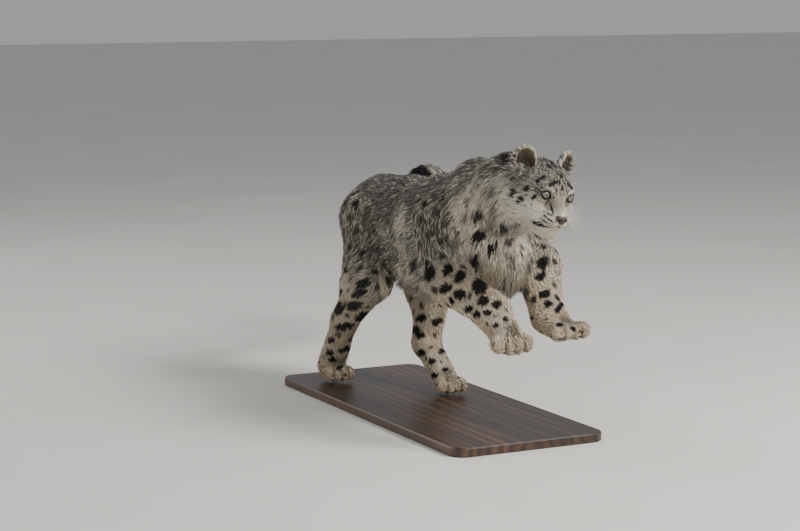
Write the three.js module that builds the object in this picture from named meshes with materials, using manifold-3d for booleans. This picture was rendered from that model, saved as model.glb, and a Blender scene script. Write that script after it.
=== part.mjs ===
// A snow leopard in the middle of a bound, as a life-size museum model: it stands on its two
// hind feet on a flat display base, with both forelegs reaching out in front of the chest.
//
// Millimetres, +Z up. The origin is the centre of the underside of the base. The animal faces
// -Y, so its left side is +X. Every length of the body is a loft: rings of points, each found
// where a ray from the middle of the limb meets one smooth field of flesh and coat.
import * as THREE from "three";
import { mergeVertices } from "three/addons/utils/BufferGeometryUtils.js";
import Module from "manifold-3d";

const wasm = await Module();
wasm.setup();

// Driving dimensions of the display base.
const BASE = { length: 1120, width: 460, thick: 25, corner: 40, bevel: 3 };
const BASE_MIDDLE = 395; // how far ahead of the right hind foot the middle of the base lies
const GAP = 0.3; // left between two pieces that touch

// A place on the animal: how far to its left, ahead of its right hind foot, and above the base.
const at = (left, ahead, up) => new THREE.Vector3(left, BASE_MIDDLE - ahead, BASE.thick + up);

// The joints of the skeleton in the pose, and the thickness of the coated body round them.
const SPINE = [at(2, 30, 520), at(4, 110, 528), at(14, 250, 520), at(14, 420, 512), at(6, 600, 530)];
const NECK = [at(4, 700, 600), at(0, 850, 645), at(2, 945, 668)];
const LEGS = {
  fore_right: {
    joints: [at(-92, 600, 545), at(-122, 712, 398), at(-92, 888, 342), at(-86, 950, 292)],
    radii: [76, 62, 50, 46],
    toes: { ahead: at(-82, 985, 266), size: 26, spread: 90, out: [-1, -0.1, 0] },
  },
  fore_left: {
    joints: [at(96, 630, 545), at(138, 730, 425), at(112, 838, 305), at(120, 890, 280)],
    radii: [80, 66, 46, 42],
    toes: { ahead: at(128, 930, 276), size: 24, spread: 84, out: [1, 0.25, 0.1] },
  },
  hind_right: {
    joints: [at(-72, 118, 505), at(-110, 222, 330), at(-124, 72, 199), at(-126, -22, 46)],
    radii: [84, 58, 41, 44],
    calf: { points: [at(-70, 84, 462), at(-108, 114, 300)], radii: [58, 46] },
    toes: { ahead: at(-122, 30, 27), size: 23, spread: 78, out: [-1, 0, 0] },
  },
  hind_left: {
    joints: [at(72, 74, 500), at(108, 212, 340), at(101, 160, 126), at(94, 292, 42)],
    radii: [82, 60, 42, 40],
    calf: { points: [at(72, 50, 458), at(106, 112, 280)], radii: [60, 46] },
    toes: { ahead: at(92, 340, 27), size: 23, spread: 76, out: [1, 0, 0] },
  },
};
const TAIL = [
  at(0, -20, 545), at(35, -95, 532), at(80, -150, 508), at(170, -235, 466), at(270, -308, 440),
  at(365, -368, 430), at(450, -428, 450), at(505, -485, 492), at(494, -526, 534), at(452, -524, 542),
];
const TAIL_RADIUS = { root: 42, middle: 45, tip: 36 }; // of its dense core, inside the locks

// The head's own frame: its middle between the ears, turned, nodding and tilted as in the pose.
const HEAD_MIDDLE = at(3, 998, 661);
const HEAD_POSE = { turn: 4, nod: -20, tilt: 10 }; // degrees: to its left, down, left side down
const HEAD_TURN = new THREE.Matrix4().makeRotationFromEuler(
  new THREE.Euler(
    THREE.MathUtils.degToRad(-HEAD_POSE.nod),
    THREE.MathUtils.degToRad(HEAD_POSE.tilt),
    THREE.MathUtils.degToRad(HEAD_POSE.turn),
    "ZXY",
  ),
);
const headWay = (left, ahead, up) => new THREE.Vector3(left, -ahead, up).applyMatrix4(HEAD_TURN);
const onHead = (left, ahead, up) => headWay(left, ahead, up).add(HEAD_MIDDLE);

// Features of the head, in its own frame.
const EYE = { left: 37, ahead: 40, up: 8, out: 0.2, lift: 0.14, radius: 13, lid: 2.6, sunk: 8 };
const EYE_OPENING = { width: 25, height: 17, slant: 14 }; // slant in degrees, outer corner up
const EAR = {
  left: 62, ahead: -40, up: 54, out: 0.5, lean: 14, half: [29, 15, 43], cup: [22, 13, 36], cupShift: 9,
};
const NOSE = {
  from: [0, 40, -22], to: [0, 100, -35], proud: 4, width: 33, foot: 11, height: 21, depth: 18, bevel: 3,
};
const NOSTRIL = { half: [3.6, 2.8, 6], left: 8.5, up: -1, slant: 0.5 };
const LIP = { corner: [42, 46, -72], radius: 4.2, groove: 2.2, core: [0, 34, -58] };

// How soft the folds are between the forms of each part, and between the parts of the body.
const FOLD = { torso: 60, neck: 50, head: 20, body: 36, leg: 26, toe: 12 };

// Locks of the long coat: how far each reaches, how broad and thick it is at its widest, how far
// its tip stands off the skin, and how far its own weight pulls the tip down. In a row down the
// back of a leg, the splay is how far the locks between the first and the last turn outwards.
const LOCKS = {
  cheek: { length: 62, width: 34, thick: 10, lift: 15, fall: 6 },
  throat: { length: 84, width: 50, thick: 12, lift: 15, fall: 12 },
  belly: { length: 92, width: 44, thick: 12, lift: 14, fall: 30 },
  haunch: { length: 74, width: 38, thick: 11, lift: 16, fall: 6, splay: 0.75 },
  elbow: { length: 58, width: 32, thick: 10, lift: 14, fall: 6, splay: 0.2 },
  tail: { length: 84, width: 60, thick: 13, lift: 9, fall: 0 },
};
const SEED = 20;

// Fields: each is a distance to a surface, negative inside, for a place p.
const ball = (middle, radius) => (p) => p.distanceTo(middle) - radius;

// An egg with its own half sizes to the left, ahead and up, in the frame of its matrix.
function egg(middle, half, turn = new THREE.Matrix4()) {
  const back = turn.clone().invert();
  const q = new THREE.Vector3();
  return (p) => {
    q.copy(p).sub(middle).applyMatrix4(back);
    const near = Math.hypot(q.x / half[0], q.y / half[1], q.z / half[2]);
    const slope = Math.hypot(q.x / half[0] ** 2, q.y / half[1] ** 2, q.z / half[2] ** 2);
    return slope > 0 ? (near * (near - 1)) / slope : -Math.min(...half);
  };
}

// A limb from a to b whose radius goes from ra to rb, with round ends.
function limb(a, b, ra, rb) {
  const along = b.clone().sub(a);
  const l2 = along.lengthSq();
  const dr = ra - rb;
  const a2 = l2 - dr * dr;
  const pa = new THREE.Vector3();
  return (p) => {
    pa.copy(p).sub(a);
    const y = pa.dot(along);
    const z = y - l2;
    const x2 = Math.max(pa.lengthSq() * l2 - y * y, 0) * l2;
    const k = Math.sign(dr) * dr * dr * x2;
    if (Math.sign(z) * a2 * z * z * l2 > k) return Math.sqrt(x2 + z * z * l2) / l2 - rb;
    if (Math.sign(y) * a2 * y * y * l2 < k) return Math.sqrt(x2 + y * y * l2) / l2 - ra;
    return (Math.sqrt((x2 * a2) / l2) + y * dr) / l2 - ra;
  };
}

// Several fields run into one, with a soft fold of about the given size where they meet.
const melt = (fold, ...fields) => (p) =>
  fields.reduce((near, field) => {
    const d = field(p);
    const h = Math.max(fold - Math.abs(near - d), 0) / fold;
    return Math.min(near, d) - (h * h * fold) / 4;
  }, 1e4);

const SIDES = [-1, 1];
const bothSides = (make) => SIDES.map(make);
const between = (a, b, share) => a.clone().lerp(b, share);
const headEgg = (middle, half) => egg(onHead(...middle), half, HEAD_TURN);

const torsoField = melt(
  FOLD.torso,
  egg(at(8, 50, 502), [92, 90, 96]),
  limb(SPINE[1], SPINE[2], 104, 106),
  limb(SPINE[2], SPINE[3], 106, 122),
  limb(SPINE[3], SPINE[4], 122, 128),
  limb(at(14, 470, 600), at(6, 655, 644), 48, 72),
  limb(at(8, 220, 432), at(10, 330, 405), 80, 84),
  limb(at(10, 330, 405), at(8, 500, 424), 84, 96),
  limb(at(8, 520, 440), at(2, 700, 500), 92, 98),
  egg(at(14, 732, 448), [66, 64, 82]),
);
const neckField = melt(FOLD.neck, limb(NECK[0], NECK[1], 106, 92), limb(NECK[1], NECK[2], 92, 72));
const headField = melt(
  FOLD.head,
  headEgg([0, -14, 8], [70, 66, 66]),
  headEgg([0, 24, 20], [49, 37, 40]),
  limb(onHead(0, 34, 8), onHead(0, 86, -24), 27, 17),
  ...bothSides((side) => headEgg([side * 30, 42, 27], [20, 15, 12])),
  ...bothSides((side) => headEgg([side * 46, 14, -28], [38, 44, 40])),
  ...bothSides((side) => headEgg([side * 48, -24, -42], [38, 40, 40])),
  ...bothSides((side) => headEgg([side * 19, 78, -45], [25, 26, 20])),
  limb(onHead(0, 38, -64), onHead(0, 75, -83), 34, 20),
  limb(onHead(0, -30, -50), onHead(0, 40, -68), 54, 40),
);
const bodyField = melt(FOLD.body, torsoField, neckField, headField);

// One leg's field. A hind leg has its hamstring and calf too, from the rump down to the hock.
function legField({ joints: j, radii: r, calf }) {
  const bones = [0, 1, 2].map((k) => limb(j[k], j[k + 1], r[k], r[k + 1]));
  if (!calf) return melt(FOLD.leg, ...bones);
  const [root, belly] = calf.points;
  return melt(
    FOLD.leg,
    ...bones,
    limb(root, belly, ...calf.radii),
    limb(belly, between(belly, j[2], 0.8), calf.radii[1], r[2] * 0.7),
  );
}

// Lofts. A station is a middle, the way the axis runs there, and the way that ring angle 0 points.
const HALVINGS = 16;
function surfaceAlong(field, from, way, reach = 400) {
  const p = new THREE.Vector3();
  const distance = (r) => field(p.copy(from).addScaledVector(way, r));
  let inside = 0;
  let outside = reach;
  for (let r = 0; r < reach; ) {
    const d = distance(r);
    if (d > 0) {
      outside = r;
      break;
    }
    inside = r;
    r += Math.max(-d, 1);
  }
  for (let i = 0; i < HALVINGS; i += 1) {
    const middle = (inside + outside) / 2;
    if (distance(middle) > 0) outside = middle;
    else inside = middle;
  }
  return inside;
}

const NO_SLIDE = new THREE.Vector3();
function ringOf(field, { middle, way, side, slide = NO_SLIDE }, segments, grow = 0) {
  const across = side.clone().addScaledVector(way, -side.dot(way)).normalize();
  const up = new THREE.Vector3().crossVectors(way, across);
  return Array.from({ length: segments }, (_, i) => {
    const angle = (2 * Math.PI * i) / segments;
    const ray = across.clone().multiplyScalar(Math.cos(angle)).addScaledVector(up, Math.sin(angle));
    const reach = surfaceAlong(field, middle, ray) + grow;
    return middle.clone().addScaledVector(ray, reach).add(slide);
  });
}

// Rings joined into a closed body; each end is closed by the point given for it.
function skinOf(rings, first, last) {
  const n = rings[0].length;
  const points = [...rings.flat(), first, last];
  const faces = [];
  for (let r = 0; r < rings.length - 1; r += 1)
    for (let i = 0; i < n; i += 1) {
      const [a, b] = [r * n + i, r * n + ((i + 1) % n)];
      faces.push(a, b, b + n, a, b + n, a + n);
    }
  const top = (rings.length - 1) * n;
  for (let i = 0; i < n; i += 1) {
    const next = (i + 1) % n;
    faces.push(points.length - 2, next, i);
    faces.push(points.length - 1, top + i, top + next);
  }
  const geometry = new THREE.BufferGeometry();
  geometry.setAttribute("position", new THREE.Float32BufferAttribute(points.flatMap((p) => [...p]), 3));
  geometry.setIndex(faces);
  return geometry;
}

// A loft through stations. An end is cut flat, or closed round where the axis leaves the field.
const ROUND = { fine: [0.35, 0.62, 0.82, 0.95], coarse: [0.55, 0.88] };
function loft(field, stations, segments, { start, end, grow = 0 } = {}) {
  const all = [...stations];
  const close = ({ middle, way, side }, outward, steps) => {
    const depth = surfaceAlong(field, middle, outward);
    const round = steps.map((share) => ({
      middle: middle.clone().addScaledVector(outward, depth * share),
      way,
      side,
      slide: outward.clone().multiplyScalar(grow * share),
    }));
    return [round, middle.clone().addScaledVector(outward, depth + grow)];
  };
  let first = stations[0].middle.clone();
  let last = stations.at(-1).middle.clone();
  if (start) {
    const [steps, pole] = close(stations[0], stations[0].way.clone().negate(), start);
    all.unshift(...steps.reverse());
    first = pole;
  }
  if (end) {
    const [steps, pole] = close(stations.at(-1), stations.at(-1).way, end);
    all.push(...steps);
    last = pole;
  }
  return solidOf(skinOf(all.map((s) => ringOf(field, s, segments, grow)), first, last));
}

// Stations along a curve. With both cuts given, the way turns evenly from one cut to the other.
function stationsAlong(points, count, side, from, to) {
  const curve = new THREE.CatmullRomCurve3(points, false, "centripetal");
  return Array.from({ length: count }, (_, i) => {
    const t = i / (count - 1);
    const way = from ? from.clone().lerp(to, t).normalize() : curve.getTangentAt(t);
    return { middle: curve.getPointAt(t), way, side };
  });
}

// Booleans, on closed bodies.
function solidOf(geometry) {
  const bare = geometry.clone();
  bare.deleteAttribute("normal");
  bare.deleteAttribute("uv");
  const merged = mergeVertices(bare, 1e-3);
  return new wasm.Manifold(
    new wasm.Mesh({
      numProp: 3,
      vertProperties: merged.attributes.position.array,
      triVerts: new Uint32Array(merged.index.array),
    }),
  );
}
const largest = (solid) => solid.decompose().sort((a, b) => b.volume() - a.volume())[0];
const fuse = (...solids) => solids.reduce((a, b) => a.add(b));
function geometryOf(solid) {
  const { vertProperties, triVerts } = largest(solid).getMesh();
  return new THREE.BufferGeometry()
    .setAttribute("position", new THREE.BufferAttribute(vertProperties, 3))
    .setIndex(new THREE.BufferAttribute(triVerts, 1));
}

// Materials: the colour of each part of the animal, and of the stand.
const finish = (color, roughness, metalness = 0) =>
  new THREE.MeshStandardMaterial({ color, roughness, metalness });
const FINISH = {
  coat: finish(0xa9a394, 0.95),
  paleCoat: finish(0xe4dcc8, 0.95),
  limbCoat: finish(0xd2bd9c, 0.95),
  nose: finish(0x5a3a36, 0.55),
  eye: finish(0xb9b48c, 0.1),
  stand: finish(0x3b3733, 0.6),
};
// Every node's solid before its locks are fused to it, with a slightly grown copy where one is made.
const nodes = {};
function place(name, solid, material, grown = solid) {
  nodes[name] = { solid, material, grown };
}

const LEFTWARD = new THREE.Vector3(1, 0, 0);
const UPWARD = new THREE.Vector3(0, 0, 1);
const CUTTER_GROWTH = 1; // a faceted cutter has to stand this far off to leave the gap everywhere

// The torso runs from the rump to a cut at the base of the neck, and the neck on to the head.
const NECK_CUT = { middle: at(5, 650, 556), way: new THREE.Vector3(0, -40, 14).normalize() };
const HEAD_CUT = { middle: onHead(0, -72, -20), way: headWay(0, 1, 0.25).normalize() };
function torso(grow = 0) {
  const stations = stationsAlong([...SPINE.slice(0, 4), NECK_CUT.middle], 15, LEFTWARD);
  stations.at(-1).way = NECK_CUT.way;
  stations.at(-2).way.lerp(NECK_CUT.way, 0.5).normalize();
  return loft(bodyField, stations, 24, { start: ROUND.fine, grow });
}
function neck(grow = 0) {
  const start = NECK_CUT.middle.clone().addScaledVector(NECK_CUT.way, GAP - grow);
  const points = [start, NECK[0], NECK[1], HEAD_CUT.middle];
  const stations = stationsAlong(points, 7, LEFTWARD, NECK_CUT.way, HEAD_CUT.way);
  return loft(bodyField, stations, 28, { grow });
}

// The bare skull with its flesh and coat, from the cut behind the ears to the end of the muzzle.
function skull(grow = 0) {
  const start = HEAD_CUT.middle.clone().addScaledVector(HEAD_CUT.way, GAP);
  const points = [start, onHead(0, -20, -16), onHead(0, 25, -20), onHead(0, 60, -34), onHead(0, 86, -44)];
  const nod = headWay(0, 1, -0.3).normalize();
  const stations = stationsAlong(points, 17, headWay(1, 0, 0), HEAD_CUT.way, nod);
  return loft(bodyField, stations, 30, { end: ROUND.fine, grow });
}

// A frame on the head: x to the left, y up and z out along the look, turned by some degrees.
function facing(middle, look, turn = 0) {
  const z = look.clone().normalize();
  const x = new THREE.Vector3().crossVectors(headWay(0, 0, 1), z).normalize();
  const y = new THREE.Vector3().crossVectors(z, x);
  const spin = new THREE.Matrix4().makeRotationZ(THREE.MathUtils.degToRad(turn));
  return new THREE.Matrix4().makeBasis(x, y, z).multiply(spin).setPosition(middle);
}
const sphere = (middle, radius, around, down) =>
  solidOf(new THREE.SphereGeometry(radius, around, down).translate(...middle));

// An eye sits so deep that only the front of the ball shows between the lids.
function eyePlace(side) {
  const look = headWay(side * EYE.out, 1, EYE.lift).normalize();
  const from = onHead(side * EYE.left, EYE.ahead, EYE.up).addScaledVector(look, -20);
  const depth = surfaceAlong(bodyField, from, look) - EYE.sunk;
  return { look, middle: from.addScaledVector(look, depth) };
}
function eyeOpening(side) {
  const { look, middle } = eyePlace(side);
  const { width, height, slant } = EYE_OPENING;
  const almond = new THREE.Shape()
    .moveTo(-width / 2, 0)
    .quadraticCurveTo(0, height, width / 2, 0)
    .quadraticCurveTo(0, -height, -width / 2, 0);
  const prism = new THREE.ExtrudeGeometry(almond, { depth: 30, bevelEnabled: false, curveSegments: 4 });
  return solidOf(prism.applyMatrix4(facing(middle, look, side * slant)));
}

// A round ear: a thick leaf, cupped in front, that stands on the skull.
function ear(side, skullCutter) {
  const look = headWay(side * EAR.out, 1, 0.1);
  const middle = onHead(side * EAR.left, EAR.ahead, EAR.up);
  const leaf = (half, shift) =>
    solidOf(
      new THREE.SphereGeometry(1, 13, 9)
        .scale(half[0], half[2], half[1])
        .translate(0, shift / 3, shift)
        .applyMatrix4(facing(middle, look, -side * EAR.lean)),
    );
  return leaf(EAR.half, 0).subtract(leaf(EAR.cup, EAR.cupShift)).subtract(skullCutter);
}

// The nose leather: broad above and narrow below, with a nostril to each side.
function nose(grow = 0) {
  const { from, to, proud, width, foot, height, depth, bevel } = NOSE;
  const root = onHead(...from);
  const look = onHead(...to).sub(root).normalize();
  const middle = root.addScaledVector(look, surfaceAlong(bodyField, root, look) + proud - depth / 2);
  const [w, f, h] = [width / 2 + grow, foot / 2 + grow, height / 2 + grow];
  const leather = new THREE.Shape()
    .moveTo(-w, h * 0.55)
    .quadraticCurveTo(0, h * 1.35, w, h * 0.55)
    .quadraticCurveTo(w * 0.95, -h * 0.5, f, -h)
    .lineTo(-f, -h)
    .quadraticCurveTo(-w * 0.95, -h * 0.5, -w, h * 0.55);
  const block = new THREE.ExtrudeGeometry(leather, {
    depth: depth - bevel + 2 * grow,
    bevelThickness: bevel,
    bevelSize: bevel,
    bevelOffset: -bevel,
    bevelSegments: 1,
    curveSegments: 4,
  });
  const frame = facing(middle, headWay(0, 1, 0.25));
  const solid = solidOf(block.translate(0, 0, -depth / 2 - grow).applyMatrix4(frame));
  if (grow) return solid;
  const nostril = (side) =>
    solidOf(
      new THREE.SphereGeometry(1, 8, 6)
        .scale(...NOSTRIL.half)
        .rotateZ(side * NOSTRIL.slant)
        .translate(side * NOSTRIL.left, NOSTRIL.up, depth / 2)
        .applyMatrix4(frame),
    );
  return solid.subtract(fuse(...bothSides(nostril)));
}

// The mouth: a lip line on the surface from one corner under the nose to the other.
function lipLine(radius, arcSegments) {
  const [left, ahead, up] = LIP.corner;
  const guide = [
    [left, ahead, up], [left * 0.86, ahead + 22, up + 2], [left * 0.52, ahead + 46, up + 8],
    [left * 0.2, ahead + 56, up + 14],
  ];
  const mirrored = guide.map(([x, y, z]) => [-x, y, z]).reverse();
  const core = onHead(...LIP.core);
  const onSurface = [...guide, [0, ahead + 58, up + 17], ...mirrored].map((place) => {
    const way = onHead(...place).sub(core).normalize();
    return core.clone().addScaledVector(way, surfaceAlong(bodyField, core, way));
  });
  const section = new THREE.Shape().absarc(0, 0, radius, 0, 2 * Math.PI);
  const path = new THREE.CatmullRomCurve3(onSurface);
  const tube = { steps: 14, extrudePath: path, bevelEnabled: false, curveSegments: arcSegments };
  return solidOf(new THREE.ExtrudeGeometry(section, tube));
}

function head() {
  const eyes = SIDES.map(eyePlace);
  const lids = eyes.map(({ middle }) => sphere(middle, EYE.radius + EYE.lid, 14, 9));
  const sockets = eyes.map(({ middle }) => sphere(middle, EYE.radius + CUTTER_GROWTH, 14, 9));
  return fuse(skull(), ...lids, lipLine(LIP.radius, 3))
    .subtract(lipLine(LIP.groove, 2))
    .subtract(nose(CUTTER_GROWTH))
    .subtract(fuse(...SIDES.map(eyeOpening)))
    .subtract(fuse(...sockets));
}

// A toe is a round bulb on a short root. Four of them spread over the end of each paw.
function toe({ ahead, size, spread, out }, wrist, index) {
  const across = (index - 1.5) / 1.5;
  const outward = new THREE.Vector3(...out).normalize();
  const reach = 1 - 0.16 * Math.abs(across);
  const tip = between(wrist, ahead, reach).addScaledVector(outward, (across * (spread - 2 * size)) / 2);
  const root = between(wrist, tip, 0.35);
  const way = tip.clone().sub(root).normalize();
  const bulb = melt(FOLD.toe, limb(root, tip, size * 0.9, size), ball(tip, size));
  const stations = [root, tip].map((middle) => ({ middle, way, side: outward }));
  return loft(bulb, stations, 7, { start: ROUND.coarse, end: ROUND.coarse });
}

// One leg in three lengths, parted by planes that halve the bends at the elbow and the wrist.
const LEG_PARTS = { fore: ["upper", "forearm", "paw"], hind: ["thigh", "shank", "foot"] };
function leg(name, plan, bodyCutter) {
  const { joints: j, toes } = plan;
  const field = legField(plan);
  const ways = [0, 1, 2].map((k) => j[k + 1].clone().sub(j[k]).normalize());
  const bend = (a, b) => a.clone().add(b).normalize();
  const cuts = [ways[0], bend(ways[0], ways[1]), bend(ways[1], ways[2]), ways[2]];
  const length = (k, count, ends = {}) => {
    const from = j[k].clone().addScaledVector(cuts[k], k ? GAP : 0);
    const points = [from, between(j[k], j[k + 1], 0.5), j[k + 1]];
    return loft(field, stationsAlong(points, count, LEFTWARD, cuts[k], cuts[k + 1]), 16, ends);
  };
  const grow = { grow: CUTTER_GROWTH };
  const [top, middle, end] = LEG_PARTS[name.split("_")[0]].map((part) => `${name}_${part}`);
  const upper = length(0, 7, { start: ROUND.fine });
  place(top, upper.subtract(bodyCutter), FINISH.coat, length(0, 7, { start: ROUND.fine, ...grow }));
  place(middle, length(1, 8).subtract(bodyCutter), FINISH.limbCoat, length(1, 8, grow));
  const paw = fuse(length(2, 5, { end: ROUND.coarse }), ...[0, 1, 2, 3].map((i) => toe(toes, j[3], i)));
  place(end, paw.trimByPlane([0, 0, 1], BASE.thick + GAP), FINISH.limbCoat);
}

// The tail in four lengths that share their cuts.
const TAIL_PARTS = 4;
const TAIL_STEPS = 8; // rings to a length
function tail(bodyCutter) {
  const curve = new THREE.CatmullRomCurve3(TAIL, false, "centripetal");
  const { root, middle, tip } = TAIL_RADIUS;
  const radius = (t) =>
    root + (middle - root) * Math.min(t * 3, 1) + (tip - middle) * THREE.MathUtils.smoothstep(t, 0.6, 1);
  for (let part = 0; part < TAIL_PARTS; part += 1) {
    const stations = Array.from({ length: TAIL_STEPS + 1 }, (_, i) => {
      const t = (part * TAIL_STEPS + i) / (TAIL_PARTS * TAIL_STEPS);
      const way = curve.getTangentAt(t);
      const place = curve.getPointAt(t).addScaledVector(way, part && i === 0 ? GAP : 0);
      return { middle: place, way, side: UPWARD, radius: radius(t) };
    });
    const end = stations.at(-1);
    if (part === TAIL_PARTS - 1)
      for (const share of ROUND.fine) {
        const ahead = end.middle.clone().addScaledVector(end.way, share * tip);
        stations.push({ ...end, middle: ahead, radius: tip * Math.sqrt(1 - share ** 2) });
      }
    const last = part === TAIL_PARTS - 1 ? end.middle.clone().addScaledVector(end.way, tip) : end.middle;
    const body = (grow) => {
      const rings = stations.map((s) => ringOf(ball(s.middle, s.radius), s, 12, grow));
      return solidOf(skinOf(rings, stations[0].middle, last));
    };
    const clear = part ? body(0) : body(0).subtract(bodyCutter);
    place(`tail_${part + 1}`, clear, FINISH.coat, body(CUTTER_GROWTH));
  }
}

// The base: a flat plate with rounded corners and a small bevel.
function base() {
  const [x, y, r] = [BASE.width / 2 - BASE.bevel, BASE.length / 2 - BASE.bevel, BASE.corner];
  const outline = new THREE.Shape()
    .moveTo(-x + r, -y)
    .lineTo(x - r, -y)
    .absarc(x - r, -y + r, r, -Math.PI / 2, 0)
    .absarc(x - r, y - r, r, 0, Math.PI / 2)
    .absarc(-x + r, y - r, r, Math.PI / 2, Math.PI)
    .absarc(-x + r, -y + r, r, Math.PI, 1.5 * Math.PI);
  const plate = new THREE.ExtrudeGeometry(outline, {
    depth: BASE.thick - 2 * BASE.bevel,
    bevelThickness: BASE.bevel,
    bevelSize: BASE.bevel,
    bevelSegments: 1,
    curveSegments: 3,
  });
  return solidOf(plate.translate(0, 0, BASE.bevel));
}

// Locks. Each is a flat, tapered strand with its root sunk in the body, that leans off the skin
// and bends along its lie. A small seeded draw varies them as real ones vary.
let drawn = SEED;
function draw() {
  drawn = (drawn * 16807) % 2147483647;
  return drawn / 2147483647;
}
const vary = (value, share) => value * (1 + share * (2 * draw() - 1));
const LOCK_RINGS = [[0, 0.7], [0.38, 1], [0.74, 0.68]]; // place along the lock, share of its breadth
const FATTER = 1.2; // a lock's fatter twin keeps the locks of other nodes clear of it
function lock(root, out, lie, size) {
  const sway = new THREE.Vector3().crossVectors(out, lie).multiplyScalar(0.3 * (draw() - 0.5));
  const along = lie.clone().add(sway).addScaledVector(out, -lie.dot(out)).normalize();
  const across = new THREE.Vector3().crossVectors(out, along).normalize();
  const [length, width] = [vary(size.length, 0.16), vary(size.width, 0.14)];
  const sunk = size.thick * 0.9;
  const spine = (t) =>
    root
      .clone()
      .addScaledVector(along, length * t)
      .addScaledVector(out, (sunk + size.lift) * Math.sin(t * 1.35) - sunk)
      .addScaledVector(UPWARD, -size.fall * t * t);
  const strand = (extra) => {
    const rings = LOCK_RINGS.map(([t, share]) => {
      const half = (width * share) / 2 + extra;
      const depth = (size.thick * share) / 2 + extra;
      const corner = (a, b) => spine(t).addScaledVector(across, a).addScaledVector(out, b);
      return [corner(half, 0), corner(0, depth), corner(-half, 0), corner(0, -depth)];
    });
    return solidOf(skinOf(rings, spine(-0.12), spine(1 + (3 * extra) / length)));
  };
  return { solid: strand(0), fat: strand(FATTER) };
}

// A row of locks: roots where rays from a moving point leave the field, lying the way given.
function lockRow(field, count, size, aim) {
  return Array.from({ length: count }, (_, i) => {
    const t = count > 1 ? i / (count - 1) : 0.5;
    const { from, way, lie } = aim(t);
    const out = way.clone().normalize();
    const root = from.clone().addScaledVector(out, surfaceAlong(field, from, out));
    return lock(root, out, lie, size);
  });
}
const turnOf = (degrees) => THREE.MathUtils.degToRad(degrees);

// The ruff round the cheeks: three rows on each side, from below the ear to under the jaw.
function cheekLocks() {
  const row = (side, ahead, first, last, count) =>
    lockRow(bodyField, count, LOCKS.cheek, (t) => {
      const angle = turnOf(first + (last - first) * t);
      const way = headWay(side * Math.cos(angle), 0, -Math.sin(angle));
      return { from: onHead(0, ahead, -18), way, lie: headWay(side * 0.25, -1, -0.7) };
    });
  return SIDES.flatMap((side) => [...row(side, -6, 8, 66, 5), ...row(side, -40, -4, 74, 5)]);
}

// The throat and chest: rows across the front of the neck, hanging down towards the chest.
function throatLocks() {
  const row = (along, first, last, count) =>
    lockRow(bodyField, count, LOCKS.throat, (t) => {
      const angle = turnOf(first + (last - first) * t);
      const from = between(NECK[2], at(12, 700, 500), along);
      const way = new THREE.Vector3(Math.cos(angle), 0.55 * Math.sin(angle), 0.8 * Math.sin(angle));
      return { from, way, lie: new THREE.Vector3(0, 0.55, -1) };
    });
  return [
    ...row(0.12, 212, 328, 4),
    ...row(0.42, 196, 344, 6),
    ...row(0.72, 200, 340, 6),
    ...row(0.98, 218, 322, 5),
  ];
}

// The belly: three rows along the underside, from between the forelegs to the groin.
function bellyLocks() {
  return [-1, 0, 1].flatMap((column) =>
    lockRow(bodyField, column ? 6 : 7, LOCKS.belly, (t) => ({
      from: at(10 + column * 34, 590 - 390 * t - (column ? 24 : 0), 470),
      way: new THREE.Vector3(column * 0.5, 0, -1),
      lie: new THREE.Vector3(column * 0.15, 1, -0.25),
    })),
  );
}

// The back of a thigh, and the back of an upper foreleg above the elbow.
function backLocks(plan, size, count) {
  const [top, low] = plan.calf ? plan.calf.points : plan.joints;
  const side = Math.sign(plan.joints[0].x);
  return lockRow(legField(plan), count, size, (t) => ({
    from: between(top, low, 0.15 + 0.8 * t),
    way: new THREE.Vector3(side * (t > 0 && t < 1 ? size.splay : 0.2), 1, -0.1),
    lie: new THREE.Vector3(0, 0.35, -1),
  }));
}

// The tail: rings of locks that lie towards its tip, each ring turned by half a place.
const TAIL_LOCKS = { rings: 2, around: 4 }; // to each length of the tail
function tailLocks(part) {
  const curve = new THREE.CatmullRomCurve3(TAIL, false, "centripetal");
  const { rings, around } = TAIL_LOCKS;
  return Array.from({ length: rings }, (_, ring) => {
    const t = (part + (ring + 0.3) / rings) / TAIL_PARTS;
    const lie = curve.getTangentAt(t);
    const from = curve.getPointAt(t);
    const across = new THREE.Vector3().crossVectors(lie, UPWARD).normalize();
    const up = new THREE.Vector3().crossVectors(across, lie);
    return Array.from({ length: around }, (_, i) => {
      const angle = turnOf((360 * (i + ring / 2)) / around);
      const out = across.clone().multiplyScalar(Math.cos(angle)).addScaledVector(up, Math.sin(angle));
      return lock(from.clone().addScaledVector(out, TAIL_RADIUS.root), out, lie, LOCKS.tail);
    });
  }).flat();
}

// Locks go on their node one group at a time, cut clear of every other node and of its locks.
let worn = null;
function wear(name, locks) {
  const others = Object.entries(nodes).filter(([other]) => other !== name);
  const clear = fuse(...others.map(([, { grown }]) => grown));
  const group = fuse(...locks.map(({ solid }) => solid)).subtract(worn ? clear.add(worn) : clear);
  nodes[name].solid = largest(fuse(nodes[name].solid, group));
  const fat = fuse(...locks.map((each) => each.fat));
  worn = worn ? worn.add(fat) : fat;
}

const bodyCutter = fuse(torso(CUTTER_GROWTH), neck(CUTTER_GROWTH));
const skullCutter = skull(CUTTER_GROWTH);
place("torso", torso(), FINISH.coat, torso(CUTTER_GROWTH));
place("neck", neck(), FINISH.paleCoat, neck(CUTTER_GROWTH));
place("head", head(), FINISH.coat, skullCutter);
place("nose", nose(), FINISH.nose, nose(CUTTER_GROWTH));
for (const [name, side] of [["right", -1], ["left", 1]]) {
  place(`eye_${name}`, sphere(eyePlace(side).middle, EYE.radius, 14, 9), FINISH.eye);
  place(`ear_${name}`, ear(side, skullCutter), FINISH.coat);
}
for (const [name, plan] of Object.entries(LEGS)) leg(name, plan, bodyCutter);
tail(bodyCutter);
place("stand_base", base(), FINISH.stand);

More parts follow.
